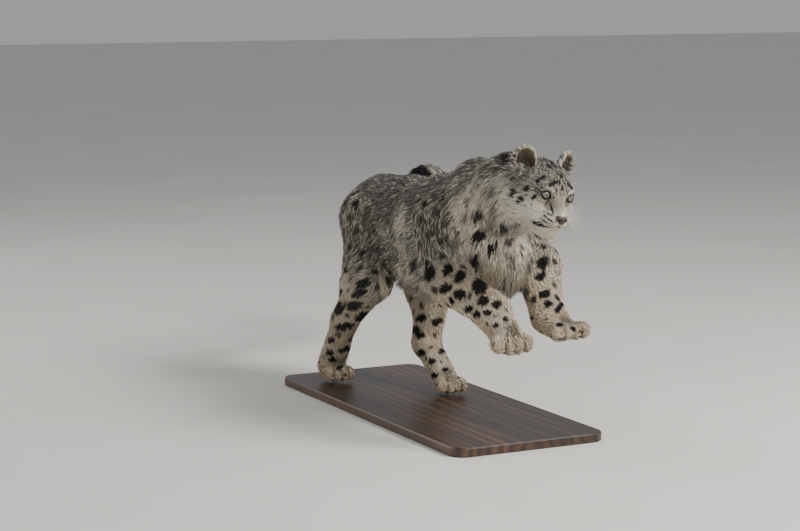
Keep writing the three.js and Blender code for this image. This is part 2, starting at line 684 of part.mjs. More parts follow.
wear("head", cheekLocks());
wear("neck", throatLocks());
wear("torso", bellyLocks());
for (const side of ["right", "left"]) {
  wear(`hind_${side}_thigh`, backLocks(LEGS[`hind_${side}`], LOCKS.haunch, 4));
  wear(`fore_${side}_upper`, backLocks(LEGS[`fore_${side}`], LOCKS.elbow, 3));
}
for (let part = TAIL_PARTS - 1; part >= 0; part -= 1) wear(`tail_${part + 1}`, tailLocks(part));

const leopard = new THREE.Group();
for (const [name, { solid, material }] of Object.entries(nodes)) {
  const mesh = new THREE.Mesh(geometryOf(solid), material);
  mesh.name = name;
  leopard.add(mesh);
}

export default leopard;
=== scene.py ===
# The looks of a life-size snow leopard model: skin, coat, eyes, lids, nose, whiskers, stand.
#
# One smooth field of distances holds the animal's outer shape, as its solids do. The skin is that
# field's surface, sunk by the depth of the coat, and the coat is tens of thousands of thin tufts
# rooted in the skin. One set of markings colours the skin and the coat alike.
import math

import bmesh
import bpy
import numpy as np
from bpy.props import FloatProperty, FloatVectorProperty, PointerProperty
from mathutils import Matrix, Vector
from mathutils.bvhtree import BVHTree


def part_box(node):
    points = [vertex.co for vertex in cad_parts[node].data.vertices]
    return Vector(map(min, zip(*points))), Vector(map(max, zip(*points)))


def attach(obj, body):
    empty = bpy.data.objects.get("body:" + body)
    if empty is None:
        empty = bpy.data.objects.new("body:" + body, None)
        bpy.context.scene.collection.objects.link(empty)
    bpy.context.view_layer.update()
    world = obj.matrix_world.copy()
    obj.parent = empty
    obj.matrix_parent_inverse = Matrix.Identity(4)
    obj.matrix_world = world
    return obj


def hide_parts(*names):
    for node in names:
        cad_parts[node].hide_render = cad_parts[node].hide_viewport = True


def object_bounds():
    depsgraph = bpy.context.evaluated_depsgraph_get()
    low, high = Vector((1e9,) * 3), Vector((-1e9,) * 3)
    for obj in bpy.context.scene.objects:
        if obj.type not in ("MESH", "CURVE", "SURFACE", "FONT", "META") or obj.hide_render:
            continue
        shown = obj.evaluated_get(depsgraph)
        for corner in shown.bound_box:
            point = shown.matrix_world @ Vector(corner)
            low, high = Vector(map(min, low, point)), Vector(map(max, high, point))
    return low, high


bl_info = {
    "name": "Snow leopard museum model",
    "version": (1, 0, 0),
    "blender": (4, 5, 0),
    "location": "3D View > Sidebar > Leopard",
    "description": "Builds the skin, coat, face and stand of a life-size snow leopard",
    "category": "Object",
}

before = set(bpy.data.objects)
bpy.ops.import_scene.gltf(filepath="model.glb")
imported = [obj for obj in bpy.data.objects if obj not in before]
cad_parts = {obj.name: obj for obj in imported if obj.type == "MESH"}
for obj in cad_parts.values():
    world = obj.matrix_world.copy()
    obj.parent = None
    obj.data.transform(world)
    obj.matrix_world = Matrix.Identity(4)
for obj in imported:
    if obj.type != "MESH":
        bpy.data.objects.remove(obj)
CAD_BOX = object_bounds()
BODY = "root"
SEED = 20

# The photograph's frame, in its own pixels, and the camera that sees the animal as it does.
FRAME_WIDTH, FRAME_HEIGHT = 800, 531
CAMERA = {"azimuth": -27.0, "elevation": 8.0, "lens": 94.0, "sensor": 36.0}
CAMERA_PLACE = np.array([-2.739, -5.167, 1.240])

# The frame's own origin and scale: places on the animal are given in millimetres.
MM = 0.001
BASE_MIDDLE = 395.0
BASE_THICK = 25.0


def at(left, ahead, up):
    """A place, from how far left, ahead of the right hind foot and above the base it is."""
    return np.array([left, BASE_MIDDLE - ahead, BASE_THICK + up]) * MM


SPINE = [at(2, 30, 520), at(4, 110, 528), at(14, 250, 520), at(14, 420, 512), at(6, 600, 530)]
NECK = [at(4, 700, 600), at(0, 850, 645), at(2, 945, 668)]
LEGS = {
    "fore_right": {
        "joints": [at(-92, 600, 545), at(-122, 712, 398), at(-92, 888, 342), at(-86, 950, 292)],
        "radii": [76, 62, 50, 46],
        "toes": {"ahead": at(-82, 985, 266), "size": 26, "spread": 90, "out": (-1, -0.1, 0)},
    },
    "fore_left": {
        "joints": [at(96, 630, 545), at(138, 730, 425), at(112, 838, 305), at(120, 890, 280)],
        "radii": [80, 66, 46, 42],
        "toes": {"ahead": at(128, 930, 276), "size": 24, "spread": 84, "out": (1, 0.25, 0.1)},
    },
    "hind_right": {
        "joints": [at(-72, 118, 505), at(-110, 222, 330), at(-124, 72, 199), at(-126, -22, 46)],
        "radii": [84, 58, 41, 44],
        "calf": {"points": [at(-70, 84, 462), at(-108, 114, 300)], "radii": [58, 46]},
        "toes": {"ahead": at(-122, 30, 27), "size": 23, "spread": 78, "out": (-1, 0, 0)},
    },
    "hind_left": {
        "joints": [at(72, 74, 500), at(108, 212, 340), at(101, 160, 126), at(94, 292, 42)],
        "radii": [82, 60, 42, 40],
        "calf": {"points": [at(72, 50, 458), at(106, 112, 280)], "radii": [60, 46]},
        "toes": {"ahead": at(92, 340, 27), "size": 23, "spread": 76, "out": (1, 0, 0)},
    },
}
TAIL = [
    at(0, -20, 545), at(35, -95, 532), at(80, -150, 508), at(170, -235, 466), at(270, -308, 440),
    at(365, -368, 430), at(450, -428, 450), at(505, -485, 492), at(494, -526, 534), at(452, -524, 542),
]
TAIL_RADIUS = {"root": 50, "middle": 54, "tip": 46}  # out to the tips of its coat

HEAD_MIDDLE = at(3, 998, 661)
HEAD_POSE = {"turn": 4, "nod": 20, "tilt": 10}  # degrees
HEAD_TURN = np.array(
    Matrix.Rotation(math.radians(HEAD_POSE["turn"]), 3, "Z")
    @ Matrix.Rotation(math.radians(HEAD_POSE["nod"]), 3, "X")
    @ Matrix.Rotation(math.radians(HEAD_POSE["tilt"]), 3, "Y")
)
EYE = {"left": 37, "ahead": 40, "up": 8, "out": 0.2, "lift": 0.14, "radius": 13}
EAR = {"left": 62, "ahead": -40, "up": 54, "out": 0.5, "lean": 14, "half": (29, 15, 43)}


def head_way(left, ahead, up):
    """A direction in the head's own frame, as one in the model's frame."""
    return HEAD_TURN @ np.array([left, -ahead, up], float)


def on_head(left, ahead, up):
    """A place on the head, in millimetres of the head's own frame."""
    return HEAD_MIDDLE + head_way(left, ahead, up) * MM


def unit(v):
    """Vectors of length one."""
    v = np.asarray(v, float)
    return v / np.maximum(np.linalg.norm(v, axis=-1, keepdims=True), 1e-12)


def step(low, high, x):
    """A smooth step from 0 at low to 1 at high."""
    t = np.clip((x - low) / (high - low), 0, 1)
    return t * t * (3 - 2 * t)


# Fields: distances from places p, as an array of rows, to a surface. Radii are in millimetres.
def limb(p, a, b, ra, rb):
    """A limb from a to b whose radius goes from ra to rb, with round ends."""
    along = b - a
    l2 = along @ along
    dr = (ra - rb) * MM
    pa = p - a
    y = pa @ along
    z = y - l2
    x2 = np.maximum((pa * pa).sum(1) * l2 - y * y, 0) * l2
    k = np.sign(dr) * dr * dr * x2
    a2 = l2 - dr * dr
    side = (np.sqrt(x2 * a2 / l2) + y * dr) / l2 - ra * MM
    far = np.sqrt(x2 + z * z * l2) / l2 - rb * MM
    near = np.sqrt(x2 + y * y * l2) / l2 - ra * MM
    result = np.where(np.sign(y) * a2 * y * y * l2 < k, near, side)
    return np.where(np.sign(z) * a2 * z * z * l2 > k, far, result)


def egg(p, middle, half, turn=None):
    """An egg with its own half sizes to the left, ahead and up."""
    q = (p - middle) / MM
    if turn is not None:
        q = q @ turn
    half = np.array(half, float)
    near = np.linalg.norm(q / half, axis=1)
    slope = np.maximum(np.linalg.norm(q / half**2, axis=1), 1e-9)
    return near * (near - 1) / slope * MM


def melt(fold, *distances):
    """Several fields run into one, with a soft fold of that many millimetres between them."""
    fold = fold * MM
    near = distances[0]
    for d in distances[1:]:
        h = np.maximum(fold - np.abs(near - d), 0) / fold
        near = np.minimum(near, d) - h * h * fold / 4
    return near


def head_egg(p, middle, half):
    """An egg in the head's own frame."""
    return egg(p, on_head(*middle), half, HEAD_TURN)


def torso_field(p):
    """Rump, belly, ribs, withers and brisket."""
    return melt(
        60,
        egg(p, at(8, 50, 502), (92, 90, 96)),
        limb(p, SPINE[1], SPINE[2], 104, 106),
        limb(p, SPINE[2], SPINE[3], 106, 122),
        limb(p, SPINE[3], SPINE[4], 122, 128),
        limb(p, at(14, 470, 600), at(6, 655, 644), 48, 72),
        limb(p, at(8, 220, 432), at(10, 330, 405), 80, 84),
        limb(p, at(10, 330, 405), at(8, 500, 424), 84, 96),
        limb(p, at(8, 520, 440), at(2, 700, 500), 92, 98),
        egg(p, at(14, 735, 442), (74, 74, 92)),
    )


def neck_field(p):
    """The thick neck, out to the tips of its coat."""
    return melt(50, limb(p, NECK[0], NECK[1], 112, 98), limb(p, NECK[1], NECK[2], 98, 76))


def head_field(p):
    """Skull, brow, bridge, cheeks, ruff, muzzle and chin."""
    parts = [
        head_egg(p, (0, -14, 8), (70, 66, 66)),
        head_egg(p, (0, 24, 20), (49, 37, 40)),
        limb(p, on_head(0, 34, 8), on_head(0, 86, -24), 27, 17),
        limb(p, on_head(0, 38, -64), on_head(0, 75, -83), 34, 20),
        limb(p, on_head(0, -30, -50), on_head(0, 40, -68), 54, 40),
    ]
    for side in (-1, 1):
        parts += [
            head_egg(p, (side * 30, 42, 27), (20, 15, 12)),
            head_egg(p, (side * 46, 14, -28), (38, 44, 40)),
            head_egg(p, (side * 52, -24, -44), (42, 42, 44)),
            head_egg(p, (side * 19, 78, -45), (25, 26, 20)),
        ]
    return melt(20, *parts)


def leg_field(p, plan):
    """One leg, without its toes; a hind leg has its hamstring and calf too."""
    j, r = plan["joints"], plan["radii"]
    parts = [limb(p, j[k], j[k + 1], r[k], r[k + 1]) for k in range(3)]
    if "calf" in plan:
        root, belly = plan["calf"]["points"]
        ra, rb = plan["calf"]["radii"]
        heel = belly + (j[2] - belly) * 0.8
        parts += [limb(p, root, belly, ra, rb), limb(p, belly, heel, rb, r[2] * 0.7)]
    return melt(26, *parts)


TOE = {"size": 1.0, "spread": 1.32, "furrow": 7, "deep": 4}  # shares of the solids', then mm


def toe_places(plan):
    """The root and tip of each of the four toes of a paw."""
    wrist, toes = plan["joints"][3], plan["toes"]
    out = unit(np.array(toes["out"], float))
    for index in range(4):
        across = (index - 1.5) / 1.5
        reach = 1 - 0.16 * abs(across)
        sideways = across * (toes["spread"] * TOE["spread"] - 2 * toes["size"]) / 2 * MM
        tip = wrist + (toes["ahead"] - wrist) * reach + out * np.array([1, -1, 1]) * sideways
        yield wrist + (tip - wrist) * 0.35, tip


def paw_field(p, plan):
    """The toes of one paw, and how deep in a furrow between two of them each place is."""
    size = plan["toes"]["size"] * TOE["size"]
    toes = np.stack([limb(p, root, tip, size * 0.85, size) for root, tip in toe_places(plan)])
    near = np.sort(toes, axis=0)
    furrow = 1 - step(0, TOE["furrow"] * MM, near[1] - near[0])
    wrist = plan["joints"][3]
    along = (p - wrist) @ unit(plan["toes"]["ahead"] - wrist)
    return near[0], furrow * step(-0.012, 0.012, along) * step(0.04, 0.02, near[0])


def curve_places(points, count):
    """Places along a smooth curve through the points, evenly spaced."""
    pts = [2 * points[0] - points[1], *points, 2 * points[-1] - points[-2]]
    dense = []
    for k in range(1, len(pts) - 2):
        a, b, c, d = pts[k - 1 : k + 3]
        for t in np.linspace(0, 1, 16, endpoint=False):
            square, cube = 2 * a - 5 * b + 4 * c - d, 3 * b - a - 3 * c + d
            dense.append(0.5 * (2 * b + (c - a) * t + square * t**2 + cube * t**3))
    dense = np.array([*dense, points[-1]])
    run = np.concatenate([[0], np.cumsum(np.linalg.norm(np.diff(dense, axis=0), axis=1))])
    wanted = np.linspace(0, run[-1], count)
    return np.stack([np.interp(wanted, run, dense[:, i]) for i in range(3)], 1)


TAIL_PLACES = curve_places(TAIL, 33)


def tail_radius(t):
    """The tail's radius in millimetres at a share t of its length."""
    root, middle, tip = TAIL_RADIUS["root"], TAIL_RADIUS["middle"], TAIL_RADIUS["tip"]
    return root + (middle - root) * np.minimum(t * 3, 1) + (tip - middle) * step(0.6, 1.0, t)


def tail_field(p):
    """The tail as a chain of short limbs, and the share of its length that each place is at."""
    best = np.full(len(p), 1e3)
    share = np.zeros(len(p))
    spans = len(TAIL_PLACES) - 1
    for k in range(spans):
        a, b = TAIL_PLACES[k], TAIL_PLACES[k + 1]
        h = np.clip((p - a) @ (b - a) / ((b - a) @ (b - a)), 0, 1)
        t = (k + h) / spans
        d = np.linalg.norm(p - a - h[:, None] * (b - a), axis=1) - tail_radius(t) * MM
        closer = d < best
        best = np.where(closer, d, best)
        share = np.where(closer, t, share)
    return best, share


# The skin: the same forms, sunk by the depth of the coat that covers them, in millimetres.
COAT_DEPTH = {"torso": 15, "neck": 17, "head": 3.5, "leg": 7, "paw": 3, "tail": 17}
SKIN_FOLD = {"body": 44, "leg": 46, "paw": 5, "tail": 40}
BODY_CELL = 6.9  # size of the skin's cells in millimetres, on the body and on the head
HEAD_CELL = 1.95
NOSE_CELL = 0.7
PAD_FOLD = 1000  # folds are given in millimetres of a metre field; the nose pad's is in millimetres
SIDES = {"right": -1, "left": 1}


def to_head(p):
    """Places in the head's own frame: millimetres to the left, ahead and up."""
    q = (p - HEAD_MIDDLE) / MM @ HEAD_TURN
    return q * np.array([1, -1, 1])


def parts_of(p):
    """The distance from each place to each part's own skin, and the share along the tail."""
    near = {
        "torso": torso_field(p) + COAT_DEPTH["torso"] * MM,
        "neck": neck_field(p) + COAT_DEPTH["neck"] * MM,
        "head": head_field(p) + COAT_DEPTH["head"] * MM,
    }
    for name, plan in LEGS.items():
        bones = leg_field(p, plan) + COAT_DEPTH["leg"] * MM
        toes, furrow = paw_field(p, plan)
        near[name] = melt(SKIN_FOLD["paw"], bones, toes + COAT_DEPTH["paw"] * MM)
        near[name] += furrow * TOE["deep"] * MM
    tail, share = tail_field(p)
    near["tail"] = tail + COAT_DEPTH["tail"] * MM
    return near, share


def skin_field(p):
    """The distance to the whole animal's skin, but for the features of the face."""
    near, _ = parts_of(p)
    body = melt(SKIN_FOLD["body"], near["torso"], near["neck"], near["head"])
    body = melt(SKIN_FOLD["tail"], body, near["tail"])
    for name in LEGS:
        body = melt(SKIN_FOLD["leg"], body, near[name])
    return body


def surface_along(field, start, way, reach=0.25):
    """The last place along a way, from inside, where a field ends."""
    run = np.linspace(0, reach, 500)
    value = field(start + run[:, None] * way)
    last = np.nonzero((value[:-1] < 0) & (value[1:] >= 0))[0][0]
    share = value[last] / (value[last] - value[last + 1])
    return start + way * (run[last] + share * (run[1] - run[0]))


def facing(look, turn=0.0):
    """Axes on the head: to the left, up and out along the look, turned by some degrees."""
    z = unit(look)
    x = unit(np.cross(head_way(0, 0, 1), z))
    y = np.cross(z, x)
    c, s = math.cos(math.radians(turn)), math.sin(math.radians(turn))
    return np.stack([c * x + s * y, c * y - s * x, z], 1)


# Features of the face, in millimetres of the head's own frame.
LID = {"thick": 2.8, "width": 27, "height": 16.5, "slant": 16, "rim": 1.3}
EAR_CUP = {"half": (23, 13, 36), "shift": 8.5, "skin": 1.5}
LIP = {"corner": (42, 46, -72), "core": (0, 34, -58), "groove": 1.9, "fold": 3.0}


def eye_middle(side):
    """The middle of the eyeball, which lies where the solid one does."""
    low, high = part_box(f"eye_{side}")
    return (np.array(low) + np.array(high)) / 2


def eye_look(side):
    """The way that an eye looks out of the head."""
    return unit(head_way(SIDES[side] * EYE["out"], 1, EYE["lift"]))


def almond(side, p, grow=0.0):
    """How far outside the opening between the lids each place is, seen along the look."""
    q = (p - eye_middle(side)) / MM @ facing(eye_look(side), SIDES[side] * LID["slant"])
    half = LID["width"] / 2 + grow
    bow = (LID["height"] / 2 + grow) * (1 - (q[:, 0] / half) ** 2)
    return np.where(q[:, 2] > 0, np.maximum(np.abs(q[:, 1]) - bow, np.abs(q[:, 0]) - half), 40.0), q


def ear_field(side, p):
    """One ear, from the middle of its thickness: a rounded leaf, cupped in front."""
    sign = SIDES[side]
    axes = facing(head_way(sign * EAR["out"], 1, 0.1), -sign * EAR["lean"])
    middle = on_head(sign * EAR["left"], EAR["ahead"], EAR["up"])
    width, thick, height = np.array(EAR["half"], float) - EAR_CUP["skin"]
    leaf = egg(p, middle, (width, height, thick), axes)
    wide, deep, tall = EAR_CUP["half"]
    shift = axes @ np.array([0, EAR_CUP["shift"] / 3, EAR_CUP["shift"]]) * MM
    cup = egg(p, middle + shift, (wide, tall, deep), axes)
    return leaf, cup


def lip_places():
    """The mouth's line on the skin, from one corner under the nose to the other."""
    left, ahead, up = LIP["corner"]
    half = [
        (left, ahead, up), (left * 0.86, ahead + 22, up + 2), (left * 0.52, ahead + 46, up + 8),
        (left * 0.2, ahead + 56, up + 14),
    ]
    guide = [*half, (0, ahead + 58, up + 17), *[(-x, y, z) for x, y, z in reversed(half)]]
    core = on_head(*LIP["core"])
    field = lambda p: head_field(p) + COAT_DEPTH["head"] * MM
    return curve_places([surface_along(field, core, unit(on_head(*g) - core)) for g in guide], 41)


LIP_PLACES = lip_places()


def chain(p, places):
    """The distance in millimetres to a line through some places."""
    near = np.full(len(p), 1e3)
    for a, b in zip(places[:-1], places[1:]):
        h = np.clip((p - a) @ (b - a) / ((b - a) @ (b - a)), 0, 1)
        near = np.minimum(near, np.linalg.norm(p - a - h[:, None] * (b - a), axis=1))
    return near / MM


def cut(fold, a, b):
    """Field a with field b taken out, with a soft edge. All in metres, the fold in millimetres."""
    return -melt(fold, -a, b)


def philtrum():
    """The furrow from the nose down to the middle of the mouth's line."""
    core = on_head(0, 60, -50)
    field = lambda p: head_field(p) + COAT_DEPTH["head"] * MM
    return [surface_along(field, core, unit(head_way(0, 1, up))) for up in (0.35, 0.1, -0.15, -0.3)]


PHILTRUM = philtrum()


def face_field(p):
    """The head's skin with its lids, sockets, ears, mouth and the folds between them."""
    skin = skin_field(p)
    for side in SIDES:
        reach = np.linalg.norm(p - eye_middle(side), axis=1)
        shell = np.abs(reach - (EYE["radius"] + LID["thick"] / 2 + 0.2) * MM) - LID["thick"] / 2 * MM
        skin = melt(5, skin, shell)
        opening, _ = almond(side, p)
        skin = cut(1.2, skin, opening * MM)
        skin = np.maximum(skin, (EYE["radius"] + 0.2) * MM - reach)
        leaf, cup = ear_field(side, p)
        skin = melt(9, skin, leaf)
        skin = cut(4, skin, cup)
    skin = cut(LIP["fold"], skin, (chain(p, LIP_PLACES) - LIP["groove"]) * MM)
    return cut(2.5, skin, (chain(p, PHILTRUM) - 1.2) * MM)


def sample(field, low, high, cell):
    """A field's values on a grid, worked out in full only in the blocks near its surface."""
    low, high = np.array(low, float), np.array(high, float)
    block = 6
    counts = np.ceil((high - low) / (cell * block)).astype(int)
    grid = np.stack(np.meshgrid(*[np.arange(n) for n in counts], indexing="ij"), -1).reshape(-1, 3)
    rough = field(low + (grid + 0.5) * block * cell)
    values = np.repeat(np.repeat(np.repeat(rough.reshape(counts), block, 0), block, 1), block, 2)
    inner = np.stack(np.meshgrid(*[np.arange(block)] * 3, indexing="ij"), -1).reshape(-1, 3)
    for part in np.array_split(grid[np.abs(rough) < block * cell * 1.6], 12):
        index = (part[:, None, :] * block + inner[None]).reshape(-1, 3)
        if len(index):
            values[tuple(index.T)] = field(low + index * cell)
    return values


def surface(values, low, cell):
    """The surface where a grid's values change sign, as places and faces of four corners."""
    faces, cells, crossings = [], [], []
    for axis in range(3):
        turned = np.moveaxis(values, axis, 0)
        near, far = turned[:-1], turned[1:]
        where = np.argwhere((near < 0) != (far < 0))
        a, b = near[tuple(where.T)], far[tuple(where.T)]
        others = [k for k in range(3) if k != axis]
        place = np.zeros_like(where)
        place[:, axis], place[:, others[0]], place[:, others[1]] = where.T
        crossing = place.astype(float)
        crossing[:, axis] += a / (a - b)
        around = []
        for first, second in ((0, 0), (-1, 0), (-1, -1), (0, -1)):
            corner = place.copy()
            corner[:, others[0]] += first
            corner[:, others[1]] += second
            around.append(np.ravel_multi_index(corner.T, values.shape))
        around = np.stack(around, 1)
        flip = (a >= 0) != (axis == 1)
        faces.append(np.where(flip[:, None], around[:, ::-1], around))
        cells.append(around.ravel())
        crossings.append(np.repeat(crossing, 4, 0))
    ids, index = np.unique(np.concatenate(cells), return_inverse=True)
    crossings = np.concatenate(crossings)
    count = np.bincount(index)
    mean = np.stack([np.bincount(index, crossings[:, k]) / count for k in range(3)], 1)
    return np.array(low) + mean * cell, np.searchsorted(ids, np.concatenate(faces))


def relax(places, faces, rounds=2, share=0.5):
    """Evens out a surface by drawing each place towards the middle of its neighbours."""
    edges = np.concatenate([faces[:, [k, (k + 1) % 4]] for k in range(4)])
    start, end = edges[:, 0], edges[:, 1]
    size = len(places)
    count = np.bincount(start, minlength=size) + np.bincount(end, minlength=size)
    for _ in range(rounds):
        total = np.stack([np.bincount(start, places[end, k], size) for k in range(3)], 1)
        total += np.stack([np.bincount(end, places[start, k], size) for k in range(3)], 1)
        places = places + (total / count[:, None] - places) * share
    return places


def normals_of(places, faces):
    """The outward direction at each place of a surface of four-cornered faces."""
    across = np.cross(places[faces[:, 2]] - places[faces[:, 0]], places[faces[:, 3]] - places[faces[:, 1]])
    total = np.zeros_like(places)
    for k in range(4):
        for i in range(3):
            total[:, i] += np.bincount(faces[:, k], across[:, i], len(places))
    return unit(total)


def make_mesh(name, places, faces, attributes=None, smooth=True):
    """An object whose mesh has these places and faces of one size, with a value at each place."""
    mesh = bpy.data.meshes.new(name)
    count, sides = faces.shape
    mesh.vertices.add(len(places))
    mesh.vertices.foreach_set("co", np.asarray(places, np.float32).ravel())
    mesh.loops.add(count * sides)
    mesh.loops.foreach_set("vertex_index", faces.astype(np.int32).ravel())
    mesh.polygons.add(count)
    mesh.polygons.foreach_set("loop_start", np.arange(0, count * sides, sides, dtype=np.int32))
    mesh.update(calc_edges=True)
    mesh.polygons.foreach_set("use_smooth", np.full(count, smooth))
    for key, value in (attributes or {}).items():
        mesh.attributes.new(key, "FLOAT", "POINT").data.foreach_set("value", np.asarray(value, np.float32))
    thing = bpy.data.objects.new(name, mesh)
    bpy.context.scene.collection.objects.link(thing)
    return thing


# Markings. Dark spots listed one by one, in the photograph's pixels: the middle of each, its half
# length and half width, and its slant in degrees. The rest of the pattern is drawn by rule.
PHOTO_SPOTS = [
    # the near foreleg
    (430, 273, 9, 5, 80), (447, 270, 7, 5, 70), (459, 277, 8, 5, 50), (445, 288, 7, 5, 20),
    (460, 294, 6, 5, 0), (479, 286, 9, 7.5, 70), (495, 289, 6, 5, 60), (483, 301, 6, 5, 10),
    (496, 304, 5, 4, 30), (487, 312, 4, 3.5, 0), (477, 313, 4, 3.5, 0), (469, 308, 5, 3.5, 20),
    (505, 319, 3, 2.5, 0), (496, 325, 3, 2.5, 0), (418, 262, 6, 4, 60),
    # the far foreleg
    (543, 262, 8, 6, 60), (540, 276, 6, 4, 40), (544, 294, 6, 4, 20), (547, 304, 5, 3.5, 20),
    (558, 307, 7, 3, 50), (525, 304, 6, 3.5, 30), (559, 325, 3.5, 2.5, 0), (572, 329, 3, 2.2, 0),
    (579, 332, 3, 2, 0),
    # the near thigh and shank
    (364, 283, 9, 4.5, 30), (360, 293, 8, 4, 25), (355, 305, 9, 5, 20), (362, 315, 8, 4.5, 30),
    (340, 308, 8, 5, 60), (344, 326, 9, 4, 10), (355, 332, 7, 3.5, 20), (332, 339, 4, 3, 20),
    (346, 348, 4, 3, 20), (340, 350, 3, 2.5, 0), (330, 352, 4, 3, 0), (332, 359, 4, 3, 0),
    (339, 367, 3.5, 3, 0),
    # the far hind leg
    (422, 317, 6, 4, 20), (437, 321, 6, 4, 20), (416, 329, 5, 4, 0), (420, 335, 5, 3.5, 20),
    (442, 339, 5, 3.5, 20), (422, 352, 4.5, 3.5, 0), (442, 351, 4.5, 3, 20), (432, 361, 4, 3, 0),
    (445, 370, 3.5, 2.5, 0), (435, 375, 3.5, 2.5, 0),
    # the chest and throat
    (482, 233, 8, 6, 60), (481, 211, 7, 5, 40), (505, 224, 6, 4.5, 50), (492, 246, 6, 4, 40),
    (476, 257, 7, 5, 60),
]
FACE_SPOTS = [
    (553, 184, 5, 2.6, 30), (514, 193, 4.5, 3, 60), (527, 189, 4, 2.4, 60), (521, 200, 4, 2.6, 60),
    (534, 197, 3.6, 2.2, 50), (543, 178, 3, 2, 40), (538, 181, 3, 2, 60), (508, 162, 7, 5, 60),
    (541, 224, 4.5, 1.8, -35), (548.5, 218.5, 6, 0.9, -37), (545, 221, 5.5, 0.9, -30),
    (550, 214.5, 3.5, 0.8, -35), (552, 209, 7, 0.9, -78), (557, 173, 3, 0.9, -60),
    (561.5, 177, 3, 0.9, -65), (560, 168.5, 3, 0.9, -58), (564.5, 184, 2.6, 0.9, -75),
    (555.5, 166, 2.8, 0.9, -55), (562, 188.5, 2.6, 0.9, -75), (551, 163, 2.6, 0.9, -50),
]
SPOT_SPACING = {"torso": 60, "neck": 44, "leg": 38, "paw": 27, "head": 15, "tail": 46}  # mm
SPOT_RADIUS = {"torso": 23, "neck": 15, "leg": 10.5, "paw": 3.6, "head": 3.0, "tail": 18}
ROSETTE = {"torso": 1.0, "neck": 0.5, "leg": 0.0, "head": 0.0, "tail": 0.8}
PALE_PATCHES_AND_FOLD_SHADE = [  # soft pale places on the near flank and shoulder, and a narrow painted shade along a fold of the near flank: as the spots, and how dark
    (404, 228, 27, 8, 85, 0.3), (470, 205, 20, 10, 60, 0.0), (416, 245, 30, 4.5, 95, 0.62),
    (388, 292, 16, 7, 120, 0.0),
]
TICK = {"torso": 0.92, "neck": 0.62, "head": 0.6, "tail": 0.42, "leg": 0.72}  # share of dark hairs
SPOT_DARK = {"torso": 0.78, "neck": 0.82, "leg": 0.95, "head": 0.85, "tail": 0.85}
PATCH_REACH = 0.16  # how far a soft patch is felt, so that it stays on its own side
MADE = {}  # what the pieces share: the skin's places, directions and markings


def view_axes():
    """The camera's own directions: right, up and back towards it."""
    a, e = math.radians(CAMERA["azimuth"]), math.radians(CAMERA["elevation"])
    back = np.array([math.sin(a) * math.cos(e), -math.cos(a) * math.cos(e), math.sin(e)])
    right = np.array([math.cos(a), math.sin(a), 0.0])
    return right, np.cross(back, right), back


def cast(tree, px, py):
    """The place on the skin that a pixel of the photograph shows, or None."""
    right, up, back = view_axes()
    focal = CAMERA["lens"] / CAMERA["sensor"] * FRAME_WIDTH
    ray = -back + right * (px - FRAME_WIDTH / 2) / focal - up * (py - FRAME_HEIGHT / 2) / focal
    hit = tree.ray_cast(Vector(CAMERA_PLACE), Vector(unit(ray)))
    return None if hit[0] is None else (np.array(hit[0]), np.array(hit[1]), hit[3])


def read_pick(tree, px, py, long, broad, slant):
    """One listed marking: its place, long and broad directions and half sizes, or None."""
    hit = cast(tree, px, py)
    if hit is None:
        return None
    place, _, reach = hit
    right, up, _ = view_axes()
    focal = CAMERA["lens"] / CAMERA["sensor"] * FRAME_WIDTH
    turn = math.radians(slant)
    way = math.cos(turn) * right + math.sin(turn) * up
    side = -math.sin(turn) * right + math.cos(turn) * up
    return place, way, side, long * reach / focal, broad * reach / focal


def seen_spots(tree):
    """The listed spots, with those of the face on its other side too."""
    mirror = HEAD_TURN @ np.diag([-1, 1, 1]) @ HEAD_TURN.T
    spots = []
    for face, picks in ((False, PHOTO_SPOTS), (True, FACE_SPOTS)):
        for pick in picks:
            spot = read_pick(tree, *pick)
            if spot is None:
                continue
            spots.append(spot)
            if face:
                place, way, side, long, broad = spot
                other = HEAD_MIDDLE + mirror @ (place - HEAD_MIDDLE)
                spots.append((other, mirror @ way, mirror @ side, long, broad))
    return spots


def seen_patches(tree):
    """The soft pale and dark places listed, each with its darkness."""
    patches = []
    for *pick, darkness in PALE_PATCHES_AND_FOLD_SHADE:
        patch = read_pick(tree, *pick)
        if patch is not None:
            patches.append((*patch, darkness))
    return patches


def off_patch(p, place, way, side, long, broad):
    """How far off a soft patch each place is: 1 at its rim, and much more past its reach."""
    d = p - place
    past = np.linalg.norm(d, axis=1) > PATCH_REACH
    return np.hypot(d @ way / long, d @ side / broad) + past * 9


def softly(near, softness=0.012):
    """How much each part rules each place, from how near its skin is."""
    names = list(near)
    power = np.stack([np.exp(-np.clip(near[n], -0.01, 0.4) / softness) for n in names], 1)
    power /= power.sum(1, keepdims=True)
    return {n: power[:, k] for k, n in enumerate(names)}


def mix(a, b, share):
    """A blend from a to b."""
    return a + (b - a) * share


def hash_noise(cell, seed):
    """A fixed chance between 0 and 1 for each cell of a grid."""
    value = np.sin(cell @ np.array([12.9898, 78.233, 37.719]) + seed * 4.1414) * 43758.5453
    return value - np.floor(value)


def waves(p, size, seed):
    """Soft noise from -1 to 1, about that many millimetres across."""
    chance = np.random.default_rng(seed)
    total = np.zeros(len(p))
    for _ in range(5):
        way = unit(chance.normal(size=3))
        length = size * MM * chance.uniform(0.7, 1.4)
        total += np.sin(p @ way * 2 * math.pi / length + chance.uniform(0, 6.3))
    return total / 3.2


def paw_share(p, plan):
    """How far down its leg each place is: 0 at the top and 1 at the paw."""
    j = plan["joints"]
    way = np.concatenate([[0], np.cumsum([np.linalg.norm(j[k + 1] - j[k]) for k in range(3)])])
    best = np.full(len(p), 9.0)
    share = np.zeros(len(p))
    for k in range(3):
        a, b = j[k], j[k + 1]
        h = np.clip((p - a) @ (b - a) / ((b - a) @ (b - a)), 0, 1)
        d = np.linalg.norm(p - a - h[:, None] * (b - a), axis=1)
        share = np.where(d < best, (way[k] + h * (way[k + 1] - way[k])) / way[3], share)
        best = np.minimum(best, d)
    return share


